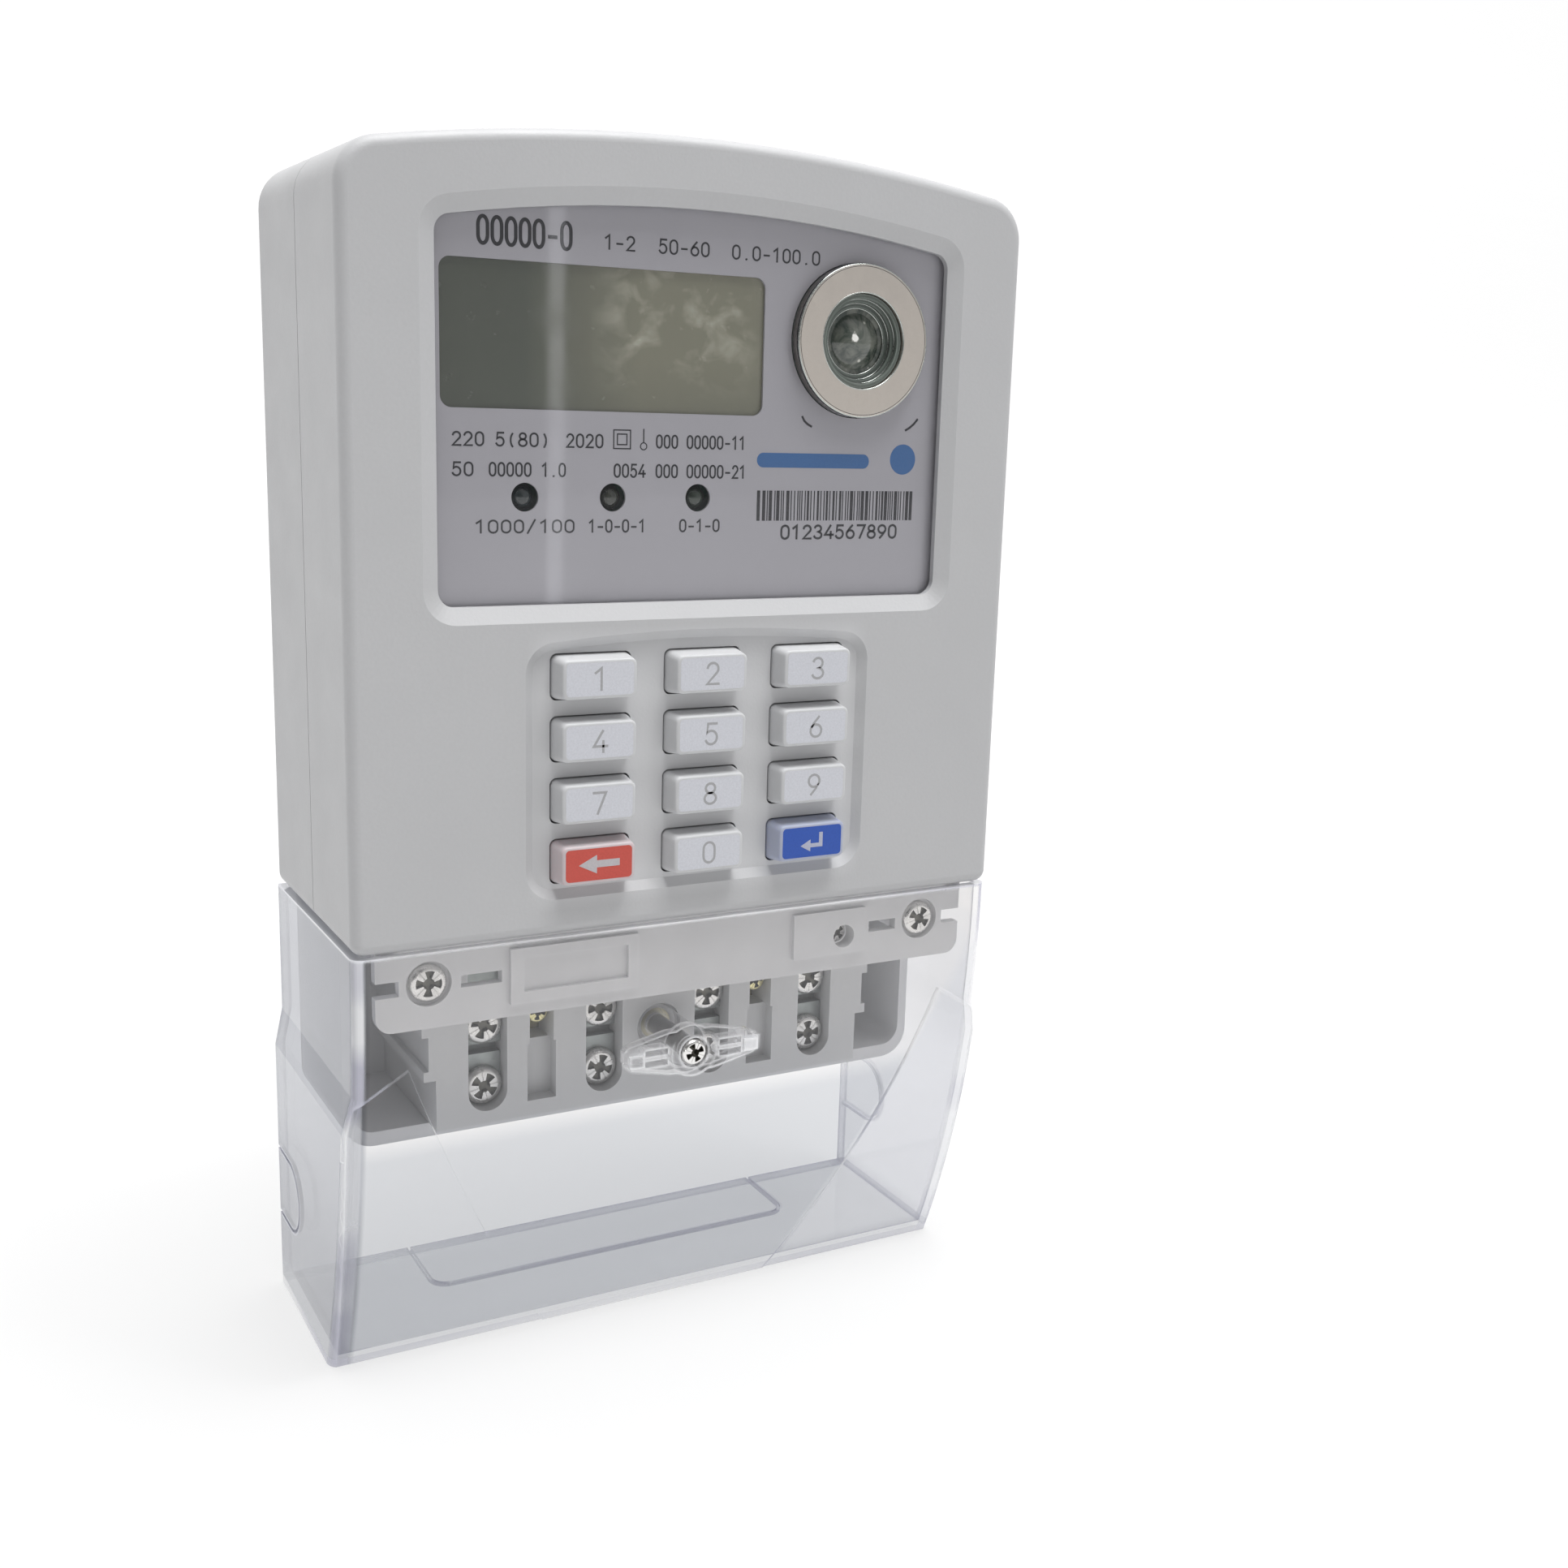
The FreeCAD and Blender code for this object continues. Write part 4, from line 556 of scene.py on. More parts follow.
# Zones of the clear cover in metres, each as (where it is 0, where it is 1).
QUIET_SIDES, QUIET_LEFT = (0.062, 0.060), (-0.010, -0.030)
RIM_Z, SIDE_ENDS_X, FLOOR_ENDS_Z = (0.0861, 0.0865), (0.0650, 0.0654), (0.0020, 0.0018)
WING_X, WING_EDGE = (0.0150, 0.0138), (0.0056, 0.0052)
LUG_X, LUG_HEIGHT = (0.0109, 0.0113), (0.0018, 0.0015)
TOP_Z, LEFT_WALL_X, LEFT_FOOT_Z = (0.046, 0.051), (-0.0640, -0.0650), (0.040, 0.015)
CLEAR_RIGHT, CLEAR_RIGHT_Z = (0.0, 0.001), (0.0025, 0.0045)
# The wings' slope, and the slope and start of the panel at the right of the front, which gets a
# lighter tint as painted light.
WING_TAPER, PANEL_SLOPE, PANEL_START = 0.225, 0.50, 0.0270

# The cover's own colour, and the bright and dark colours painted on its edges and wings as painted
# highlights and painted reflections.
COVER_BODY, COVER_GLINT = (0.90, 0.905, 0.93), (0.97, 0.975, 0.99)
COVER_EDGE_DARK = (0.60, 0.60, 0.69)
COVER_TINT = (0.850, 0.857, 0.870)
COVER_TOP_TINT = (0.962, 0.958, 0.956)
COVER_CLEAR_TINT = (0.930, 0.932, 0.942)
COVER_DARK_TINT = (0.700, 0.708, 0.730)
COVER_DARKEST_TINT = (0.590, 0.600, 0.625)
HAZE = 0.035


def clear_cover():
    """Clear polycarbonate wall: violet-grey tint, haze that grows towards grazing angles,
    rubbed patches, thick-looking corners and cut edges streaked with painted highlights and
    painted reflections, whitened wings and lug on the boss as painted highlights, a tint that
    varies as painted light and shade, and a frosted top rim."""
    p = Paint("clear_cover", COVER_BODY, 0.06, 0.4)
    smear = p.span(p.noise(55, 5, 0.6, distortion=0.6), 0.45, 0.75)
    p.set("Roughness", p.span(smear, 0.0, 1.0, 0.05, 0.16))
    p.bump(p.noise(30, 2), 0.08, 0.0005)
    x, z = p.axis("X"), p.axis("Z")
    across = p.math("ABSOLUTE", x)
    square_x, square_y, square_z = p.facing("X"), p.facing("Y"), p.facing("Z")

    # How much the plastic whitens what is behind it.
    turned_away = p.turned_away()
    slant = p.math("MULTIPLY", p.math("POWER", turned_away, 4.0), 0.26)
    haze = p.span(p.noise(14, 3), 0.3, 0.7, HAZE * 0.7, HAZE * 1.3)
    quiet = p.product(p.span(across, *QUIET_SIDES), p.span(x, *QUIET_LEFT))
    edge = p.product(p.edges(0.0011), p.span(quiet, 0.0, 1.0, 0.6, 0.06))
    rim = p.span(z, *RIM_Z, 0.0, 0.4)
    side_end = p.product(p.span(across, *SIDE_ENDS_X), p.span(square_y, 0.5, 0.8, 0.0, 0.3))
    floor_end = p.product(p.span(z, *FLOOR_ENDS_Z), p.span(square_z, 0.6, 0.4, 0.0, 0.34))
    corner = p.product(p.span(square_x, 0.1, 0.3), p.span(square_y, 0.1, 0.3, 0.0, 0.42))
    ends = p.math("ADD", p.math("ADD", edge, corner), p.math("ADD", side_end, floor_end))

    # The screw boss has a wing on each side. The wings are whitened and the right wing's lug gets a
    # bright spot where it would catch a lamp: painted highlights.
    screw = centre_of("cover_screw") * MM
    height = p.math("ABSOLUTE", p.math("SUBTRACT", z, screw.z))
    tapered = p.math("ADD", height, p.math("MULTIPLY", across, WING_TAPER))
    near = p.product(p.span(across, *WING_X), p.span(tapered, *WING_EDGE))
    lug = p.product(p.span(x, *LUG_X), p.span(height, *LUG_HEIGHT))
    lug = p.product(p.math("MULTIPLY", near, lug), p.span(square_y, 0.5, 0.8, 0.0, 0.55))
    wings = p.product(near, p.math("ADD", p.math("MULTIPLY", edge, 0.6), 0.06))
    boss = p.math("ADD", lug, wings)
    amount = p.math("ADD", p.math("ADD", haze, slant), p.math("ADD", ends, boss))
    amount = p.math("ADD", p.math("ADD", amount, rim), p.mirror(turned_away, 0.023), True)

    # Streaks of bright and dark colour on the edges and corners, and the bright colour on the
    # wings: painted highlights and painted reflections.
    lights = p.span(p.noise(42, 1, stretch=(0.2, 0.2, 1.0)), 0.44, 0.56)
    glint = p.mix(p.math("MAXIMUM", lights, near), COVER_EDGE_DARK, COVER_GLINT)
    p.set("Base Color", p.mix(p.math("MULTIPLY", ends, 3.0, True), COVER_BODY, glint))

    # What colour it gives to what is behind it: lighter over the top and over the panel at the
    # right as painted light, darker on the left wall and darkest near its foot as painted shade.
    leaning = p.math("ADD", p.math("MULTIPLY", z, PANEL_SLOPE), PANEL_START)
    beyond = p.math("SUBTRACT", x, leaning)
    outer = p.product(p.span(beyond, *CLEAR_RIGHT), p.span(z, *CLEAR_RIGHT_Z))
    tint = p.mix(p.span(z, *TOP_Z), COVER_TINT, COVER_TOP_TINT)
    tint = p.mix(outer, tint, COVER_CLEAR_TINT)
    side_tint = p.mix(p.span(z, *LEFT_FOOT_Z), COVER_DARK_TINT, COVER_DARKEST_TINT)
    tint = p.mix(p.span(x, *LEFT_WALL_X), tint, side_tint)
    through = p.add("ShaderNodeBsdfTransparent")
    p.feed(through.inputs["Color"], tint)
    surface = p.add("ShaderNodeMixShader")
    p.feed(surface.inputs[0], amount)
    p.feed(surface.inputs[1], through.outputs[0])
    p.feed(surface.inputs[2], p.shader.outputs[0])
    p.feed(p.tree.nodes["Material Output"].inputs["Surface"], surface.outputs[0])
    return p.material


def clear_sheet(name, tint, roughness=0.03):
    """Thin clear window: what is behind shows straight through, with a gloss on top."""
    p = Paint(name, tint, roughness, 1.0)
    smear = p.span(p.noise(70, 5, 0.6, distortion=0.8), 0.45, 0.8)
    p.set("Roughness", p.math("ADD", p.math("MULTIPLY", smear, 0.06), roughness))
    gloss = p.mirror(p.turned_away(), 0.017)
    p.set("Alpha", p.math("ADD", gloss, p.span(p.noise(40, 4), 0.3, 0.7, 0.0, 0.008)))
    p.bump(p.noise(26, 2), 0.04, 0.0006)
    return p.material


def printed_film():
    """Silver label film: metallic flake print, slightly uneven lacquer."""
    silver = (0.405, 0.397, 0.428)
    p = Paint("label_film", silver, 0.34, 0.15)
    flake = p.span(p.cells(5200), 0.1, 0.6)
    tone = p.mix(p.math("MULTIPLY", flake, 0.35), silver, shade(silver, 1.14))
    tone = p.mix(p.span(p.noise(18, 3), 0.3, 0.7, 0.0, 0.5), tone, shade(silver, 0.93))
    p.set("Base Color", tone)
    p.set("Roughness", p.span(p.noise(120, 4), 0.3, 0.7, 0.30, 0.40))
    p.bump(p.noise(3000, 2), 0.1, 0.00003)
    return p.material


# Zones of the display in metres, each as (where it is 0, where it is 1).
LIT_X, LIT_Z = (-0.034, -0.012), (0.1815, 0.190)
CLOUD_LEFT, CLOUD_RIGHT, CLOUD_Z = (-0.022, -0.013), (0.013, 0.006), (0.183, 0.193)


def display_surface():
    """Reflective liquid crystal: olive, cloudy, painted darker at the left as painted shade, fine
    cell grain.
    """
    dark, middle, light = (0.083, 0.091, 0.073), (0.215, 0.211, 0.156), (0.47, 0.463, 0.38)
    p = Paint("display_surface", dark, 0.22)
    x, z = p.axis("X"), p.axis("Z")
    # Darker at the left, lighter towards the right and the top: painted light and shade.
    tone = p.mix(p.product(p.span(x, *LIT_X), p.span(z, *LIT_Z, 0.7, 1.0)), dark, middle)
    cloud = p.span(p.noise(190, 3, 0.55, (0.8, 1, 1), 0.35), 0.46, 0.72)
    place = p.product(p.span(x, *CLOUD_LEFT), p.span(x, *CLOUD_RIGHT), p.span(z, *CLOUD_Z))
    tone = p.mix(p.product(cloud, place, 0.75), tone, light)
    p.set("Base Color", tone)
    p.set("Roughness", p.span(p.noise(400, 3), 0.3, 0.7, 0.18, 0.28))
    p.set("Coat Weight", 0.4)
    p.bump(p.cells(4000), 0.06, 0.00003)
    return p.material


def glossy_lamp(name, colour):
    """Dark epoxy lamp with a glossy dome."""
    p = Paint(name, colour, 0.12)
    p.set("Base Color", p.mix(p.span(p.noise(900, 3), 0.3, 0.7), colour, shade(colour, 1.7)))
    p.set("Roughness", p.span(p.noise(500, 3), 0.3, 0.7, 0.08, 0.2))
    p.set("Coat Weight", 0.6)
    return p.material


def key_plastic(name, colour, glow):
    """Satin key: slightly see-through resin that takes the tint of its print."""
    p = Paint(name, colour, 0.42)
    p.set("Base Color", p.mix(p.span(p.noise(300, 3), 0.3, 0.7), colour, shade(colour, 0.955)))
    p.set("Subsurface Weight", 0.25)
    p.set("Subsurface Radius", glow)
    p.set("Subsurface Scale", 0.002)
    p.set("Roughness", p.span(p.noise(240, 4), 0.3, 0.7, 0.38, 0.5))
    p.bump(p.noise(3000, 3), 0.14, 0.00004)
    return p.material


def ink(name, colour, roughness=0.4):
    """Printed ink with a slightly broken, uneven coat."""
    p = Paint(name, colour, roughness)
    spot = p.span(p.noise(2600, 3, 0.65), 0.3, 0.7)
    p.set("Base Color", p.mix(spot, shade(colour, 0.93), shade(colour, 1.06)))
    p.set("Roughness", p.span(p.noise(700, 3), 0.3, 0.7, roughness - 0.06, roughness + 0.08))
    p.bump(spot, 0.12, 0.00002)
    return p.material


def rubber():
    """Dull silicone, cloudy from powder."""
    dark, light = (0.085, 0.09, 0.095), (0.13, 0.135, 0.14)
    p = Paint("grey_rubber", (0.10, 0.105, 0.11), 0.75)
    p.set("Base Color", p.mix(p.span(p.noise(60, 4), 0.3, 0.7), dark, light))
    p.set("Sheen Weight", 0.15)
    p.bump(p.noise(1800, 4), 0.3, 0.00008)
    return p.material


def circuit_board():
    """Green solder mask over a web of copper tracks and rows of pads."""
    mask, track = (0.008, 0.085, 0.038), (0.02, 0.16, 0.06)
    p = Paint("circuit_board", mask, 0.3)
    grid = p.add("ShaderNodeTexBrick")
    turn = p.add("ShaderNodeMapping")
    turn.inputs["Rotation"].default_value = (math.radians(90), 0, 0)
    p.feed(turn.inputs["Vector"], p.coords)
    p.feed(grid.inputs["Vector"], turn.outputs["Vector"])
    grid.inputs["Scale"].default_value = 170
    grid.inputs["Mortar Size"].default_value = 0.025
    lines = p.math("MULTIPLY", grid.outputs["Fac"], p.span(p.noise(90, 2), 0.42, 0.5))
    pads = p.span(p.cells(420), 0.16, 0.12)
    tone = p.mix(lines, mask, track)
    p.set("Base Color", p.mix(p.math("MULTIPLY", pads, 0.8), tone, (0.55, 0.54, 0.50)))
    p.set("Roughness", p.span(p.noise(300, 3), 0.3, 0.7, 0.25, 0.4))
    p.bump(p.math("ADD", lines, pads), 0.3, 0.00006)
    return p.material


# The lens's painted glint lies this far left of and above its middle, in metres, taller than it is
# wide.
GLINT_LEFT, GLINT_UP, GLINT_SQUEEZE = 0.0010, 0.0006, 0.6
GLINT_REACH, GLINT_RAGGED = (0.00105, 0.00075), 0.0007


def port_lens_resin():
    """Smoked lens: green-grey, cloudy inside, with painted glints: bright flakes and a spot where
    it would gather the light.
    """
    deep, cloudy, flake = (0.045, 0.060, 0.050), (0.21, 0.22, 0.19), (0.80, 0.79, 0.72)
    p = Paint("lens_resin", deep, 0.06)
    cloud = p.span(p.noise(210, 4, 0.6, distortion=1.6), 0.40, 0.68)
    tone = p.mix(cloud, deep, cloudy)
    # Scattered bright flakes: painted glints.
    tone = p.mix(p.math("MULTIPLY", p.span(p.cells(330), 0.14, 0.05), 0.8), tone, flake)
    # A bright spot left of and above the middle: painted highlight.
    centre = centre_of("port_lens") * MM
    aside = p.math("SUBTRACT", p.axis("X"), centre.x - GLINT_LEFT)
    above = p.math("SUBTRACT", p.axis("Z"), centre.z + GLINT_UP)
    above = p.math("MULTIPLY", above, GLINT_SQUEEZE)
    reach = p.math("ADD", p.math("POWER", aside, 2.0), p.math("POWER", above, 2.0))
    ragged = p.span(p.noise(900, 2), 0.3, 0.7, 0.0, GLINT_RAGGED)
    reach = p.math("ADD", p.math("SQRT", reach), ragged)
    p.set("Base Color", p.mix(p.span(reach, *GLINT_REACH), tone, (0.95, 0.94, 0.90)))
    p.set("Roughness", p.span(p.noise(600, 3), 0.3, 0.7, 0.04, 0.12))
    p.set("Coat Weight", 0.8)
    return p.material


# Every look, and the CAD nodes that wear it.
mats = {
    "case": moulded("case_plastic", (0.520, 0.522, 0.530), crease_dust_and_shade=0.95, painted_light_behind_cover=1.62),
    "block": moulded("block_plastic", (0.76, 0.765, 0.77), 0.5, 1800, 0.00005, 0.75),
    "cover": clear_cover(),
    "pane": clear_sheet("pane_plastic", (0.75, 0.76, 0.80)),
    "label": printed_film(),
    "display": display_surface(),
    "diffuser": moulded("diffuser_white", (0.72, 0.72, 0.70), 0.3, 3000, 0.00002, 0.9),
    "lamp_pulse": glossy_lamp("lamp_pulse", (0.006, 0.012, 0.012)),
    "lamp_warning": glossy_lamp("lamp_warning", (0.018, 0.020, 0.014)),
    "lamp_credit": glossy_lamp("lamp_credit", (0.010, 0.018, 0.010)),
    "nickel": metal("nickel", (0.86, 0.85, 0.83), 0.22, (1, 6, 1), 1400, reach=0.0006),
    # Dark copy of the nickel for the screws' recesses: painted shade.
    "socket": metal("recess_shade_steel", (0.20, 0.195, 0.165), 0.5, (1, 6, 1), 1400, reach=0.0006),
    "ring": metal("ring_nickel", (0.65, 0.60, 0.545), 0.36, (1, 1, 1), 2600, 0.92, 0.08),
    "zinc": metal("zinc", (0.60, 0.60, 0.61), 0.34, (1, 1, 8), 900, 0.8),
    "well": moulded("well_plastic", (0.13, 0.15, 0.135), 0.22, 2600, 0.00003, 0.6, 2.0),
    "lens": port_lens_resin(),
    "lip": metal("lip_chrome", (0.58, 0.61, 0.58), 0.2, (1, 1, 1), 1800, 0.85, 0.1),
    "black": moulded("black_plastic", (0.018, 0.018, 0.020), 0.4, 2000, 0.00005, 1.6, 1.5),
    "rubber": rubber(),
    "board": circuit_board(),
    "can": metal("can_aluminium", (0.62, 0.62, 0.63), 0.3, (1, 10, 1), 700, 0.9),
    "varistor": moulded("varistor_blue", (0.02, 0.07, 0.28), 0.3, 900, 0.0001, 0.8),
    "copper": metal("copper", (0.62, 0.30, 0.17), 0.34, (1, 1, 12), 600, 0.55),
    "tin": metal("plated_brass", (0.36, 0.39, 0.38), 0.36, (10, 1, 1), 700, 0.7),
    "brass": metal("brass", (0.80, 0.74, 0.42), 0.28, (1, 6, 1), 900, 0.7, reach=0.0006),
    "key": key_plastic("key_white", (0.600, 0.605, 0.615), (1.0, 1.0, 1.0)),
    "key_red": key_plastic("key_red", (0.60, 0.53, 0.545), (1.0, 0.4, 0.4)),
    "key_blue": key_plastic("key_blue", (0.42, 0.45, 0.56), (0.3, 0.45, 1.0)),
    "patch": ink("patch_white", (0.625, 0.635, 0.680)),
    "patch_red": ink("patch_red", (0.56, 0.074, 0.053), 0.35),
    "patch_blue": ink("patch_blue", (0.016, 0.080, 0.42), 0.35),
    "digit": ink("digit_grey", (0.375, 0.375, 0.385)),
    "arrow_light": ink("arrow_light", (0.50, 0.47, 0.49)),
    "arrow_blue": ink("arrow_blue", (0.44, 0.46, 0.57)),
    "print_black": ink("print_black", (0.024, 0.024, 0.028)),
    "print_blue": ink("print_blue", (0.045, 0.135, 0.33)),
}

NODE_LOOKS = {
    "case": ["front_case", "rear_base"],
    "block": ["terminal_block", "terminal_carrier"],
    "cover": ["terminal_cover"],
    "pane": ["window_pane"],
    "label": ["label_plate"],
    "display": ["display_glass"],
    "diffuser": ["display_light_guide"],
    "lamp_pulse": ["lamp_pulse"],
    "lamp_warning": ["lamp_warning"],
    "lamp_credit": ["lamp_credit"],
    "nickel": ["terminal_screws", "case_screws", "service_screw", "cover_screw"],
    "ring": ["port_ring"],
    "zinc": ["wall_hanger", "board_spacers", "display_board_screws", "main_board_screws"],
    "well": ["port_well"],
    "lens": ["port_lens"],
    "black": ["infrared_diodes", "board_chips", "latching_relay", "supply_transformer", "buzzer"],
    "rubber": ["keypad_mat", "case_gasket"],
    "board": ["display_board", "main_board", "link_board"],
    "can": ["smoothing_capacitors", "backup_battery"],
    "varistor": ["surge_varistor"],
    "copper": ["current_shunt", "line_in_bar", "line_out_bar", "neutral_bar"],
    "tin": ["terminal_line_in", "terminal_line_out", "terminal_neutral_in", "terminal_neutral_out"],
    "brass": ["aux_terminals", "aux_screws", "screw_insert"],
    "key": ["key_%d" % k for k in range(10)],
    "key_red": ["key_delete"],
    "key_blue": ["key_enter"],
}


def dress_nodes():
    """Gives each CAD node its look."""
    for look, names in NODE_LOOKS.items():
        for name in names:
            slots = nodes[name].data.materials
            slots.clear()
            slots.append(mats[look])


# ---------------------------------------------------------------- keys
# A key cap in millimetres: half sizes at its foot and at its face, and its corners.
CAP_FOOT, CAP_FACE, CAP_EDGE, CAP_HEIGHT = (7.65, 4.0), (7.15, 3.55), 0.42, 4.5
CAP_CORNER, CAP_CORNER_GROWTH, CAP_FOOT_CORNER = 1.15, 0.15, 1.3
FLANGE_DEPTH, FLANGE_REACH = 1.0, 1.1
# The printed plate on its face, and how far the plate and the mark stand in front of it.
PATCH_HALF_SIZE, PATCH_CORNER, PATCH_PROUD, PATCH_DEPTH = (6.5, 3.0), 0.75, 0.02, 0.04
MARK_PROUD, MARK_DEPTH, FIGURE_STROKE = 0.035, 0.02, 0.46
FIGURE_START, FIGURE_HEIGHT, FIGURE_WIDTH = (-1.35, -1.95), 3.9, 2.6
ARROWS = {
    "key_delete": [(-4.0, 0.0), (-0.45, 1.75), (-0.45, 0.72), (4.05, 0.72), (4.05, -0.62),
                   (-0.45, -0.62), (-0.45, -1.75)],
    "key_enter": [(-2.55, -0.75), (-0.35, 0.45), (-0.35, -0.35), (1.55, -0.35), (1.55, 1.75),
                  (2.35, 1.75), (2.35, -1.15), (-0.35, -1.15), (-0.35, -1.95)],
}
# Looks of the cap, the plate and the mark, and the finish; other keys are white.
WHITE_KEY = ("key", "patch", "digit", "key_white")
COLOURED_KEYS = {
    "key_delete": ("key_red", "patch_red", "arrow_light", "key_red"),
    "key_enter": ("key_blue", "patch_blue", "arrow_blue", "key_blue"),
}


def keycap(name, look):
    """Cap with drafted sides and softly rounded edges, its stem and the flange behind the case."""
    low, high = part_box(name)
    low, high = low / MM, high / MM
    cx, cz = (low.x + high.x) / 2, (low.z + high.z) / 2
    front = low.y
    root = front + CAP_HEIGHT
    flange_front = high.y - FLANGE_DEPTH
    (foot_x, foot_z), (face_x, face_z) = CAP_FOOT, CAP_FACE
    rings = []
    for k in range(5):
        a = math.pi / 2 * k / 4
        inset = CAP_EDGE * (1 - math.sin(a))
        rings.append(rounded_loop(cx, cz, face_x - inset, face_z - inset, CAP_CORNER - inset * 0.6,
                                  front + CAP_EDGE * (1 - math.cos(a))))
    for k in (0.35, 0.7, 1.0):
        half_x, half_z = face_x + (foot_x - face_x) * k, face_z + (foot_z - face_z) * k
        rings.append(rounded_loop(cx, cz, half_x, half_z, CAP_CORNER + CAP_CORNER_GROWTH * k,
                                  front + CAP_EDGE + (root - front - CAP_EDGE) * k))
    for reach, y in ((0, flange_front), (FLANGE_REACH, flange_front), (FLANGE_REACH, high.y)):
        rings.append(rounded_loop(cx, cz, foot_x + reach, foot_z + reach, CAP_FOOT_CORNER, y))
    shape = Shape()
    shape.loft(rings)
    add_piece("cap_" + name[4:], name + "_body", look, shape, [name], 30)
    return cx, cz, front


def make_keys():
    """Caps in the places of the plain keys, with their printed plates and marks."""
    for name in NODE_LOOKS["key"] + list(COLOURED_KEYS):
        cap_look, patch_look, mark_look, slot = COLOURED_KEYS.get(name, WHITE_KEY)
        cx, cz, front = keycap(name, cap_look)
        body = name + "_body"
        plate = Shape()
        loop = rounded_loop(cx, cz, *PATCH_HALF_SIZE, PATCH_CORNER, 0.0)
        film(plate, [(x, z) for x, _, z in loop], front - PATCH_PROUD, PATCH_DEPTH)
        add_piece("patch_" + name[4:], body, patch_look, plate)
        mark = Shape()
        y = front - MARK_PROUD
        if name in ARROWS:
            film(mark, [(cx + x, cz + z) for x, z in ARROWS[name]], y, MARK_DEPTH)
        else:
            x, z = FIGURE_START
            write(mark, name[4:], cx + x, cz + z, FIGURE_HEIGHT, FIGURE_WIDTH, FIGURE_STROKE, y,
                  MARK_DEPTH)
        add_piece("mark_" + name[4:], body, mark_look, mark)


# ---------------------------------------------------------------- label print
# Lines of figures: text, left end, foot, height, length and stroke, in millimetres.
LABEL_LINES = (
    ("00000-0", -42.45, 208.2, 4.35, 16.8, 0.62),
    ("1-2  50-60  0.0-100.0", -19.5, 208.8, 2.3, 43.0, 0.33),
    ("220", -47.15, 174.95, 2.2, 5.6, 0.33),
    ("5(80)", -39.4, 174.95, 2.2, 9.8, 0.33),
    ("2020", -26.4, 174.95, 2.2, 6.9, 0.33),
    ("000 00000-11", -9.1, 175.1, 2.2, 18.0, 0.33),
    ("50", -47.2, 169.85, 2.2, 3.7, 0.33),
    ("00000 1.0", -40.6, 169.85, 2.2, 14.0, 0.33),
    ("0054", -17.3, 169.85, 2.2, 6.0, 0.33),
    ("000 00000-21", -9.1, 169.85, 2.2, 18.2, 0.33),
    ("1000/100", -43.2, 160.1, 2.1, 18.3, 0.33),
    ("1-0-0-1", -22.1, 160.1, 2.1, 11.0, 0.33),
    ("0-1-0", -4.2, 160.1, 2.1, 8.1, 0.33),
)
NUMBER_LINE = ("01234567890", 17.0, 158.6, 2.45, 25.8, 0.42)

# Two nested squares: centre and half sizes. A bulb with a stem: place, radius and stem ends.
SQUARES_CENTRE, SQUARES_HALF, SQUARES_STROKE = (-15.8, 176.45), (1.62, 0.92), 0.22
BULB, BULB_RADIUS, BULB_STROKE = (-11.6, 175.3), 0.62, 0.2
STEM_FOOT, STEM_TOP, STEM_STROKE = 176.0, 178.3, 0.24

# Bar pattern: first and last x, foot and top, and the widths to draw from.
BARS_X, BARS_Z = (11.7, 46.4), (162.0, 167.6)
BAR_WIDTHS, BAR_GAPS, BAR_SEED = (0.22, 0.22, 0.44, 0.66), (0.22, 0.3, 0.5), 11

# Two ticks below the port.
TICKS = (((20.9, 181.3), (21.3, 180.6), (22.0, 180.0), (22.9, 179.55)),
         ((46.6, 181.4), (45.8, 180.5), (44.9, 179.8), (44.0, 179.3)))
TICK_STROKE = 0.42

# The blue bar's centre, half sizes and corner, and the blue disc's centre and radius.
BLUE_BAR, BLUE_DISC = (23.7, 173.2, 12.2, 1.35, 1.3), (43.6, 173.7, 2.9)


def make_label_print():
    """Generic figures, symbols and a bar pattern in black, and two plain blue shapes."""
    low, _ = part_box("label_plate")
    y = low.y / MM - PRINT_DEPTH
    black = Shape()
    for line in LABEL_LINES:
        write(black, *line, y)
    cx, cz = SQUARES_CENTRE
    for half in SQUARES_HALF:
        square = [(cx + sx * half, cz + sz * half) for sx, sz in
                  ((1, 1), (1, -1), (-1, -1), (-1, 1), (1, 1))]
        ribbon(black, square, SQUARES_STROKE, y, PRINT_DEPTH)
    bulb = arc(*BULB, BULB_RADIUS, BULB_RADIUS, 0, 360, 16)
    ribbon(black, bulb, BULB_STROKE, y, PRINT_DEPTH)
    ribbon(black, [(BULB[0], STEM_FOOT), (BULB[0], STEM_TOP)], STEM_STROKE, y, PRINT_DEPTH)
    draw = random.Random(BAR_SEED)
    x, end = BARS_X
    foot, top = BARS_Z
    while x < end:
        bar = draw.choice(BAR_WIDTHS)
        film(black, [(x, top), (x + bar, top), (x + bar, foot), (x, foot)], y, PRINT_DEPTH)
        x += bar + draw.choice(BAR_GAPS)
    write(black, *NUMBER_LINE, y)
    for tick in TICKS:
        ribbon(black, list(tick), TICK_STROKE, y, PRINT_DEPTH)
    add_piece("label_print_black", "meter", "print_black", black)

    blue = Shape()
    bar = rounded_loop(*BLUE_BAR, 0.0, 8)
    film(blue, [(x, z) for x, _, z in bar], y, PRINT_DEPTH)
    cx, cz, radius = BLUE_DISC
    film(blue, arc(cx, cz, radius, radius, 90, -255, 40), y, PRINT_DEPTH)
    add_piece("label_print_blue", "meter", "print_blue", blue)


# ---------------------------------------------------------------- screws
# Cross recess: half angles of its arms and ticks in degrees, and the width of their edges.
ARM_ANGLE, TICK_ANGLE, EDGE_ANGLE = 21.0, 2.6, 0.8
# Reach of the arms, the core and the ticks, as shares of the head's radius.
ARM_REACH, CORE_REACH, TICK_START, TICK_END = 0.68, 0.27, 0.36, 0.9
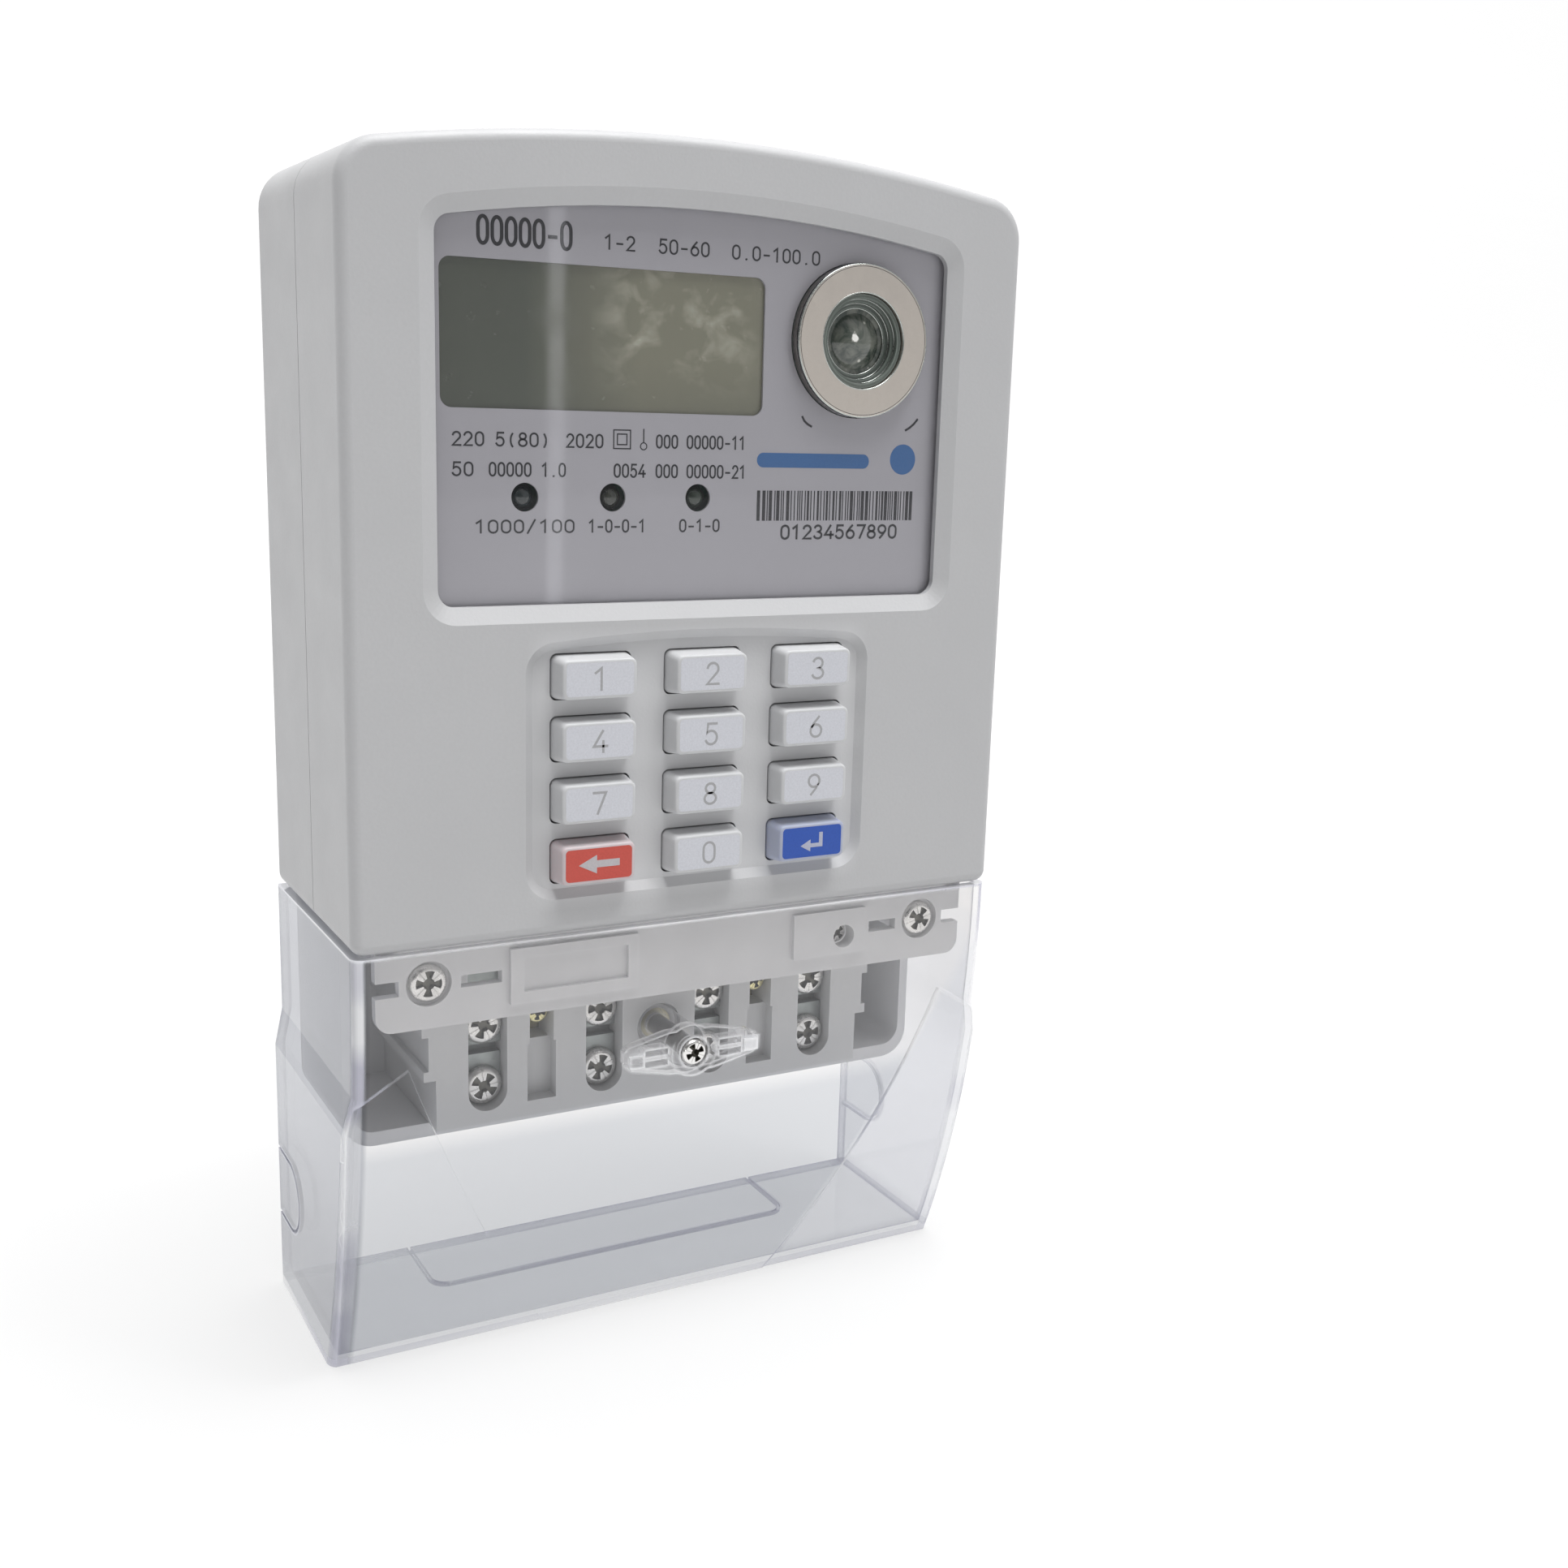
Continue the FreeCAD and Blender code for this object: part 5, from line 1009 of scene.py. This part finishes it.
# Depths, as shares of the head's depth, and of its radius for the ticks.
RECESS_DEPTH, RECESS_RISE, TICK_DEPTH = 0.62, 0.45, 0.09 / 3.5
DOME_RISE, EDGE_ROUNDING, EDGE_START = 0.10, 0.34, 0.7
# Thread: pitch and root radius, as shares of the shank's radius.
THREAD_PITCH, THREAD_ROOT = 0.32, 0.84

# Each screw node's piece, body and look, with its head's depth and shank's radius in millimetres.
SCREWS = {
    "terminal_screws": ("screws_main", "meter", "nickel", 1.7, 2.5),
    "case_screws": ("screws_case", "meter", "nickel", 1.5, 1.75),
    "aux_screws": ("screws_aux", "meter", "brass", 1.7, 1.25),
    "service_screw": ("screw_service", "meter", "nickel", 1.4, 1.2),
    "cover_screw": ("screw_cover", "sealing_screw", "nickel", 2.3, 2.0),
}
SCREW_PAIRS = ("case_screws", "aux_screws")
MAIN_HEAD_RADIUS = 3.8
SCREW_TURNS_SEED = 5
# Inside this share of the radius and below this share of the depth, the head takes the dark socket
# look: painted shade in its recess.
SOCKET_REACH, SOCKET_START = 0.69, 0.16


def screw(shape, cx, cz, front, radius, depth, shank, tip, turn):
    """Pan head with a flared cross recess and fine ticks between its arms, on a threaded shank."""
    low_tick, high_tick = 45 - TICK_ANGLE, 45 + TICK_ANGLE
    offsets = (-ARM_ANGLE - EDGE_ANGLE, -ARM_ANGLE + EDGE_ANGLE, -8, 8,
               ARM_ANGLE - EDGE_ANGLE, ARM_ANGLE + EDGE_ANGLE, 32,
               low_tick - EDGE_ANGLE, low_tick + EDGE_ANGLE,
               high_tick - EDGE_ANGLE, high_tick + EDGE_ANGLE, 58)
    angles = [(quarter * 90 + offset, offset) for quarter in range(4) for offset in offsets]
    radii = (0.07, CORE_REACH - 0.02, CORE_REACH + 0.04, TICK_START, 0.48, ARM_REACH - 0.02,
             ARM_REACH + 0.02, 0.74, 0.8, 0.87, 0.93, 0.97, 0.992, 1.0)
    sink = depth * RECESS_DEPTH
    rings = []
    for r in radii:
        rounding = max(0.0, (r - EDGE_START) / 0.3) ** 3
        dome = depth * (DOME_RISE * r ** 2 + EDGE_ROUNDING * rounding)
        points = []
        for degrees, offset in angles:
            inset = dome
            in_arm = abs(offset) < ARM_ANGLE
            if r < CORE_REACH or (in_arm and r < ARM_REACH):
                inset = dome + sink * (1.0 - RECESS_RISE * max(0.0, r - CORE_REACH) / ARM_REACH)
            elif abs(offset - 45) < TICK_ANGLE and TICK_START <= r < TICK_END:
                inset = dome + TICK_DEPTH * radius
            a = math.radians(degrees + turn)
            points.append((cx + radius * r * math.cos(a), front + inset,
                           cz + radius * r * math.sin(a)))
        rings.append(points)

    def circle(r, y):
        turns = [math.radians(degrees + turn) for degrees, _ in angles]
        return [(cx + r * math.cos(a), y, cz + r * math.sin(a)) for a in turns]

    rings.append(circle(radius, front + depth))
    rings.append(circle(shank, front + depth))
    pitch = THREAD_PITCH * shank
    y = front + depth + pitch
    while y < tip - shank * 0.8:
        rings.append(circle(shank * THREAD_ROOT, y - pitch * 0.5))
        rings.append(circle(shank, y))
        y += pitch
    rings.append(circle(shank * THREAD_ROOT, tip - shank * 0.5))
    rings.append(circle(shank * 0.3, tip))
    shape.loft([list(reversed(ring)) for ring in rings])


def make_screws():
    """Detailed screws in the places of the plain ones."""
    draw = random.Random(SCREW_TURNS_SEED)
    for node, (name, body, look, depth, shank) in SCREWS.items():
        low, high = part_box(node)
        low, high, middle = low / MM, high / MM, centre_of(node)
        radius = (high.x - low.x) / 2
        places = [(middle.x, middle.z)]
        if node == "terminal_screws":
            radius = MAIN_HEAD_RADIUS
            columns = [centre_of(clamp).x for clamp in NODE_LOOKS["tin"]]
            places = [(x, z) for x in columns for z in (low.z + radius, high.z - radius)]
        elif node in SCREW_PAIRS:
            radius = (high.z - low.z) / 2
            places = [(low.x + radius, middle.z), (high.x - radius, middle.z)]
        shape = Shape()
        for x, z in places:
            screw(shape, x, z, low.y, radius, depth, shank, high.y, draw.uniform(0, 90))
        piece = add_piece(name, body, look, shape, [node], 30)
        # The recess faces take the dark socket look: painted shade.
        piece.data.materials.append(mats["socket"])
        for face in piece.data.polygons:
            centre = face.center / MM
            off = min(math.hypot(centre.x - x, centre.z - z) for x, z in places)
            if off < SOCKET_REACH * radius and centre.y > low.y + SOCKET_START * depth:
                face.material_index = 1


# ---------------------------------------------------------------- optical port
# Hoops of the port: radius, distance behind the ring's face and wire radius, in millimetres.
PORT_LIPS = ((8.45, 0.95, 0.16), (7.72, 1.75, 0.10), (7.0, 2.7, 0.10), (6.1, 3.2, 0.13))
RING_RIM = ((13.90, 0.22, 0.20), (8.86, 0.12, 0.15))
# Black hoops in the seams round the ring, standing in for the shade there: painted shade.
RING_SEAM = ((13.60, 0.05, 0.075), (14.02, 0.62, 0.12))
WIRE_STEPS, HOOP_STEPS = 8, 96


def hoops(shape, cx, front, cz, rounds):
    """Thin round wires about a line along Y."""
    turns = [2 * math.pi * i / HOOP_STEPS for i in range(HOOP_STEPS)]
    for radius, behind, width in rounds:
        rings = []
        for k in range(WIRE_STEPS):
            a = 2 * math.pi * k / WIRE_STEPS
            r, y = radius + width * math.cos(a), front + behind + width * math.sin(a)
            rings.append(shape.ring([(cx + r * math.cos(b), y, cz + r * math.sin(b))
                                     for b in turns]))
        for k in range(WIRE_STEPS):
            shape.bridge(rings[k], rings[(k + 1) % WIRE_STEPS])


def make_port_lips():
    """Fine bright lips on the steps of the optical port, the rolled edge of its ring, and black
    hoops in its seams as painted shade.
    """
    low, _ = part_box("port_ring")
    centre = centre_of("port_ring")
    for name, slot, look, rounds in (("port_lips", "black_plastic", "lip", PORT_LIPS),
                                     ("port_ring_rim", "plated_steel", "lip", RING_RIM),
                                     ("port_ring_seam", "black_plastic", "print_black", RING_SEAM)):
        shape = Shape()
        hoops(shape, centre.x, low.y / MM, centre.z, rounds)
        add_piece(name, "meter", look, shape, angle=80)


make_camera()
make_floor()
make_light()
bpy.context.scene.view_settings.view_transform = "Standard"
dress_nodes()
make_keys()
make_label_print()
make_screws()
make_port_lips()
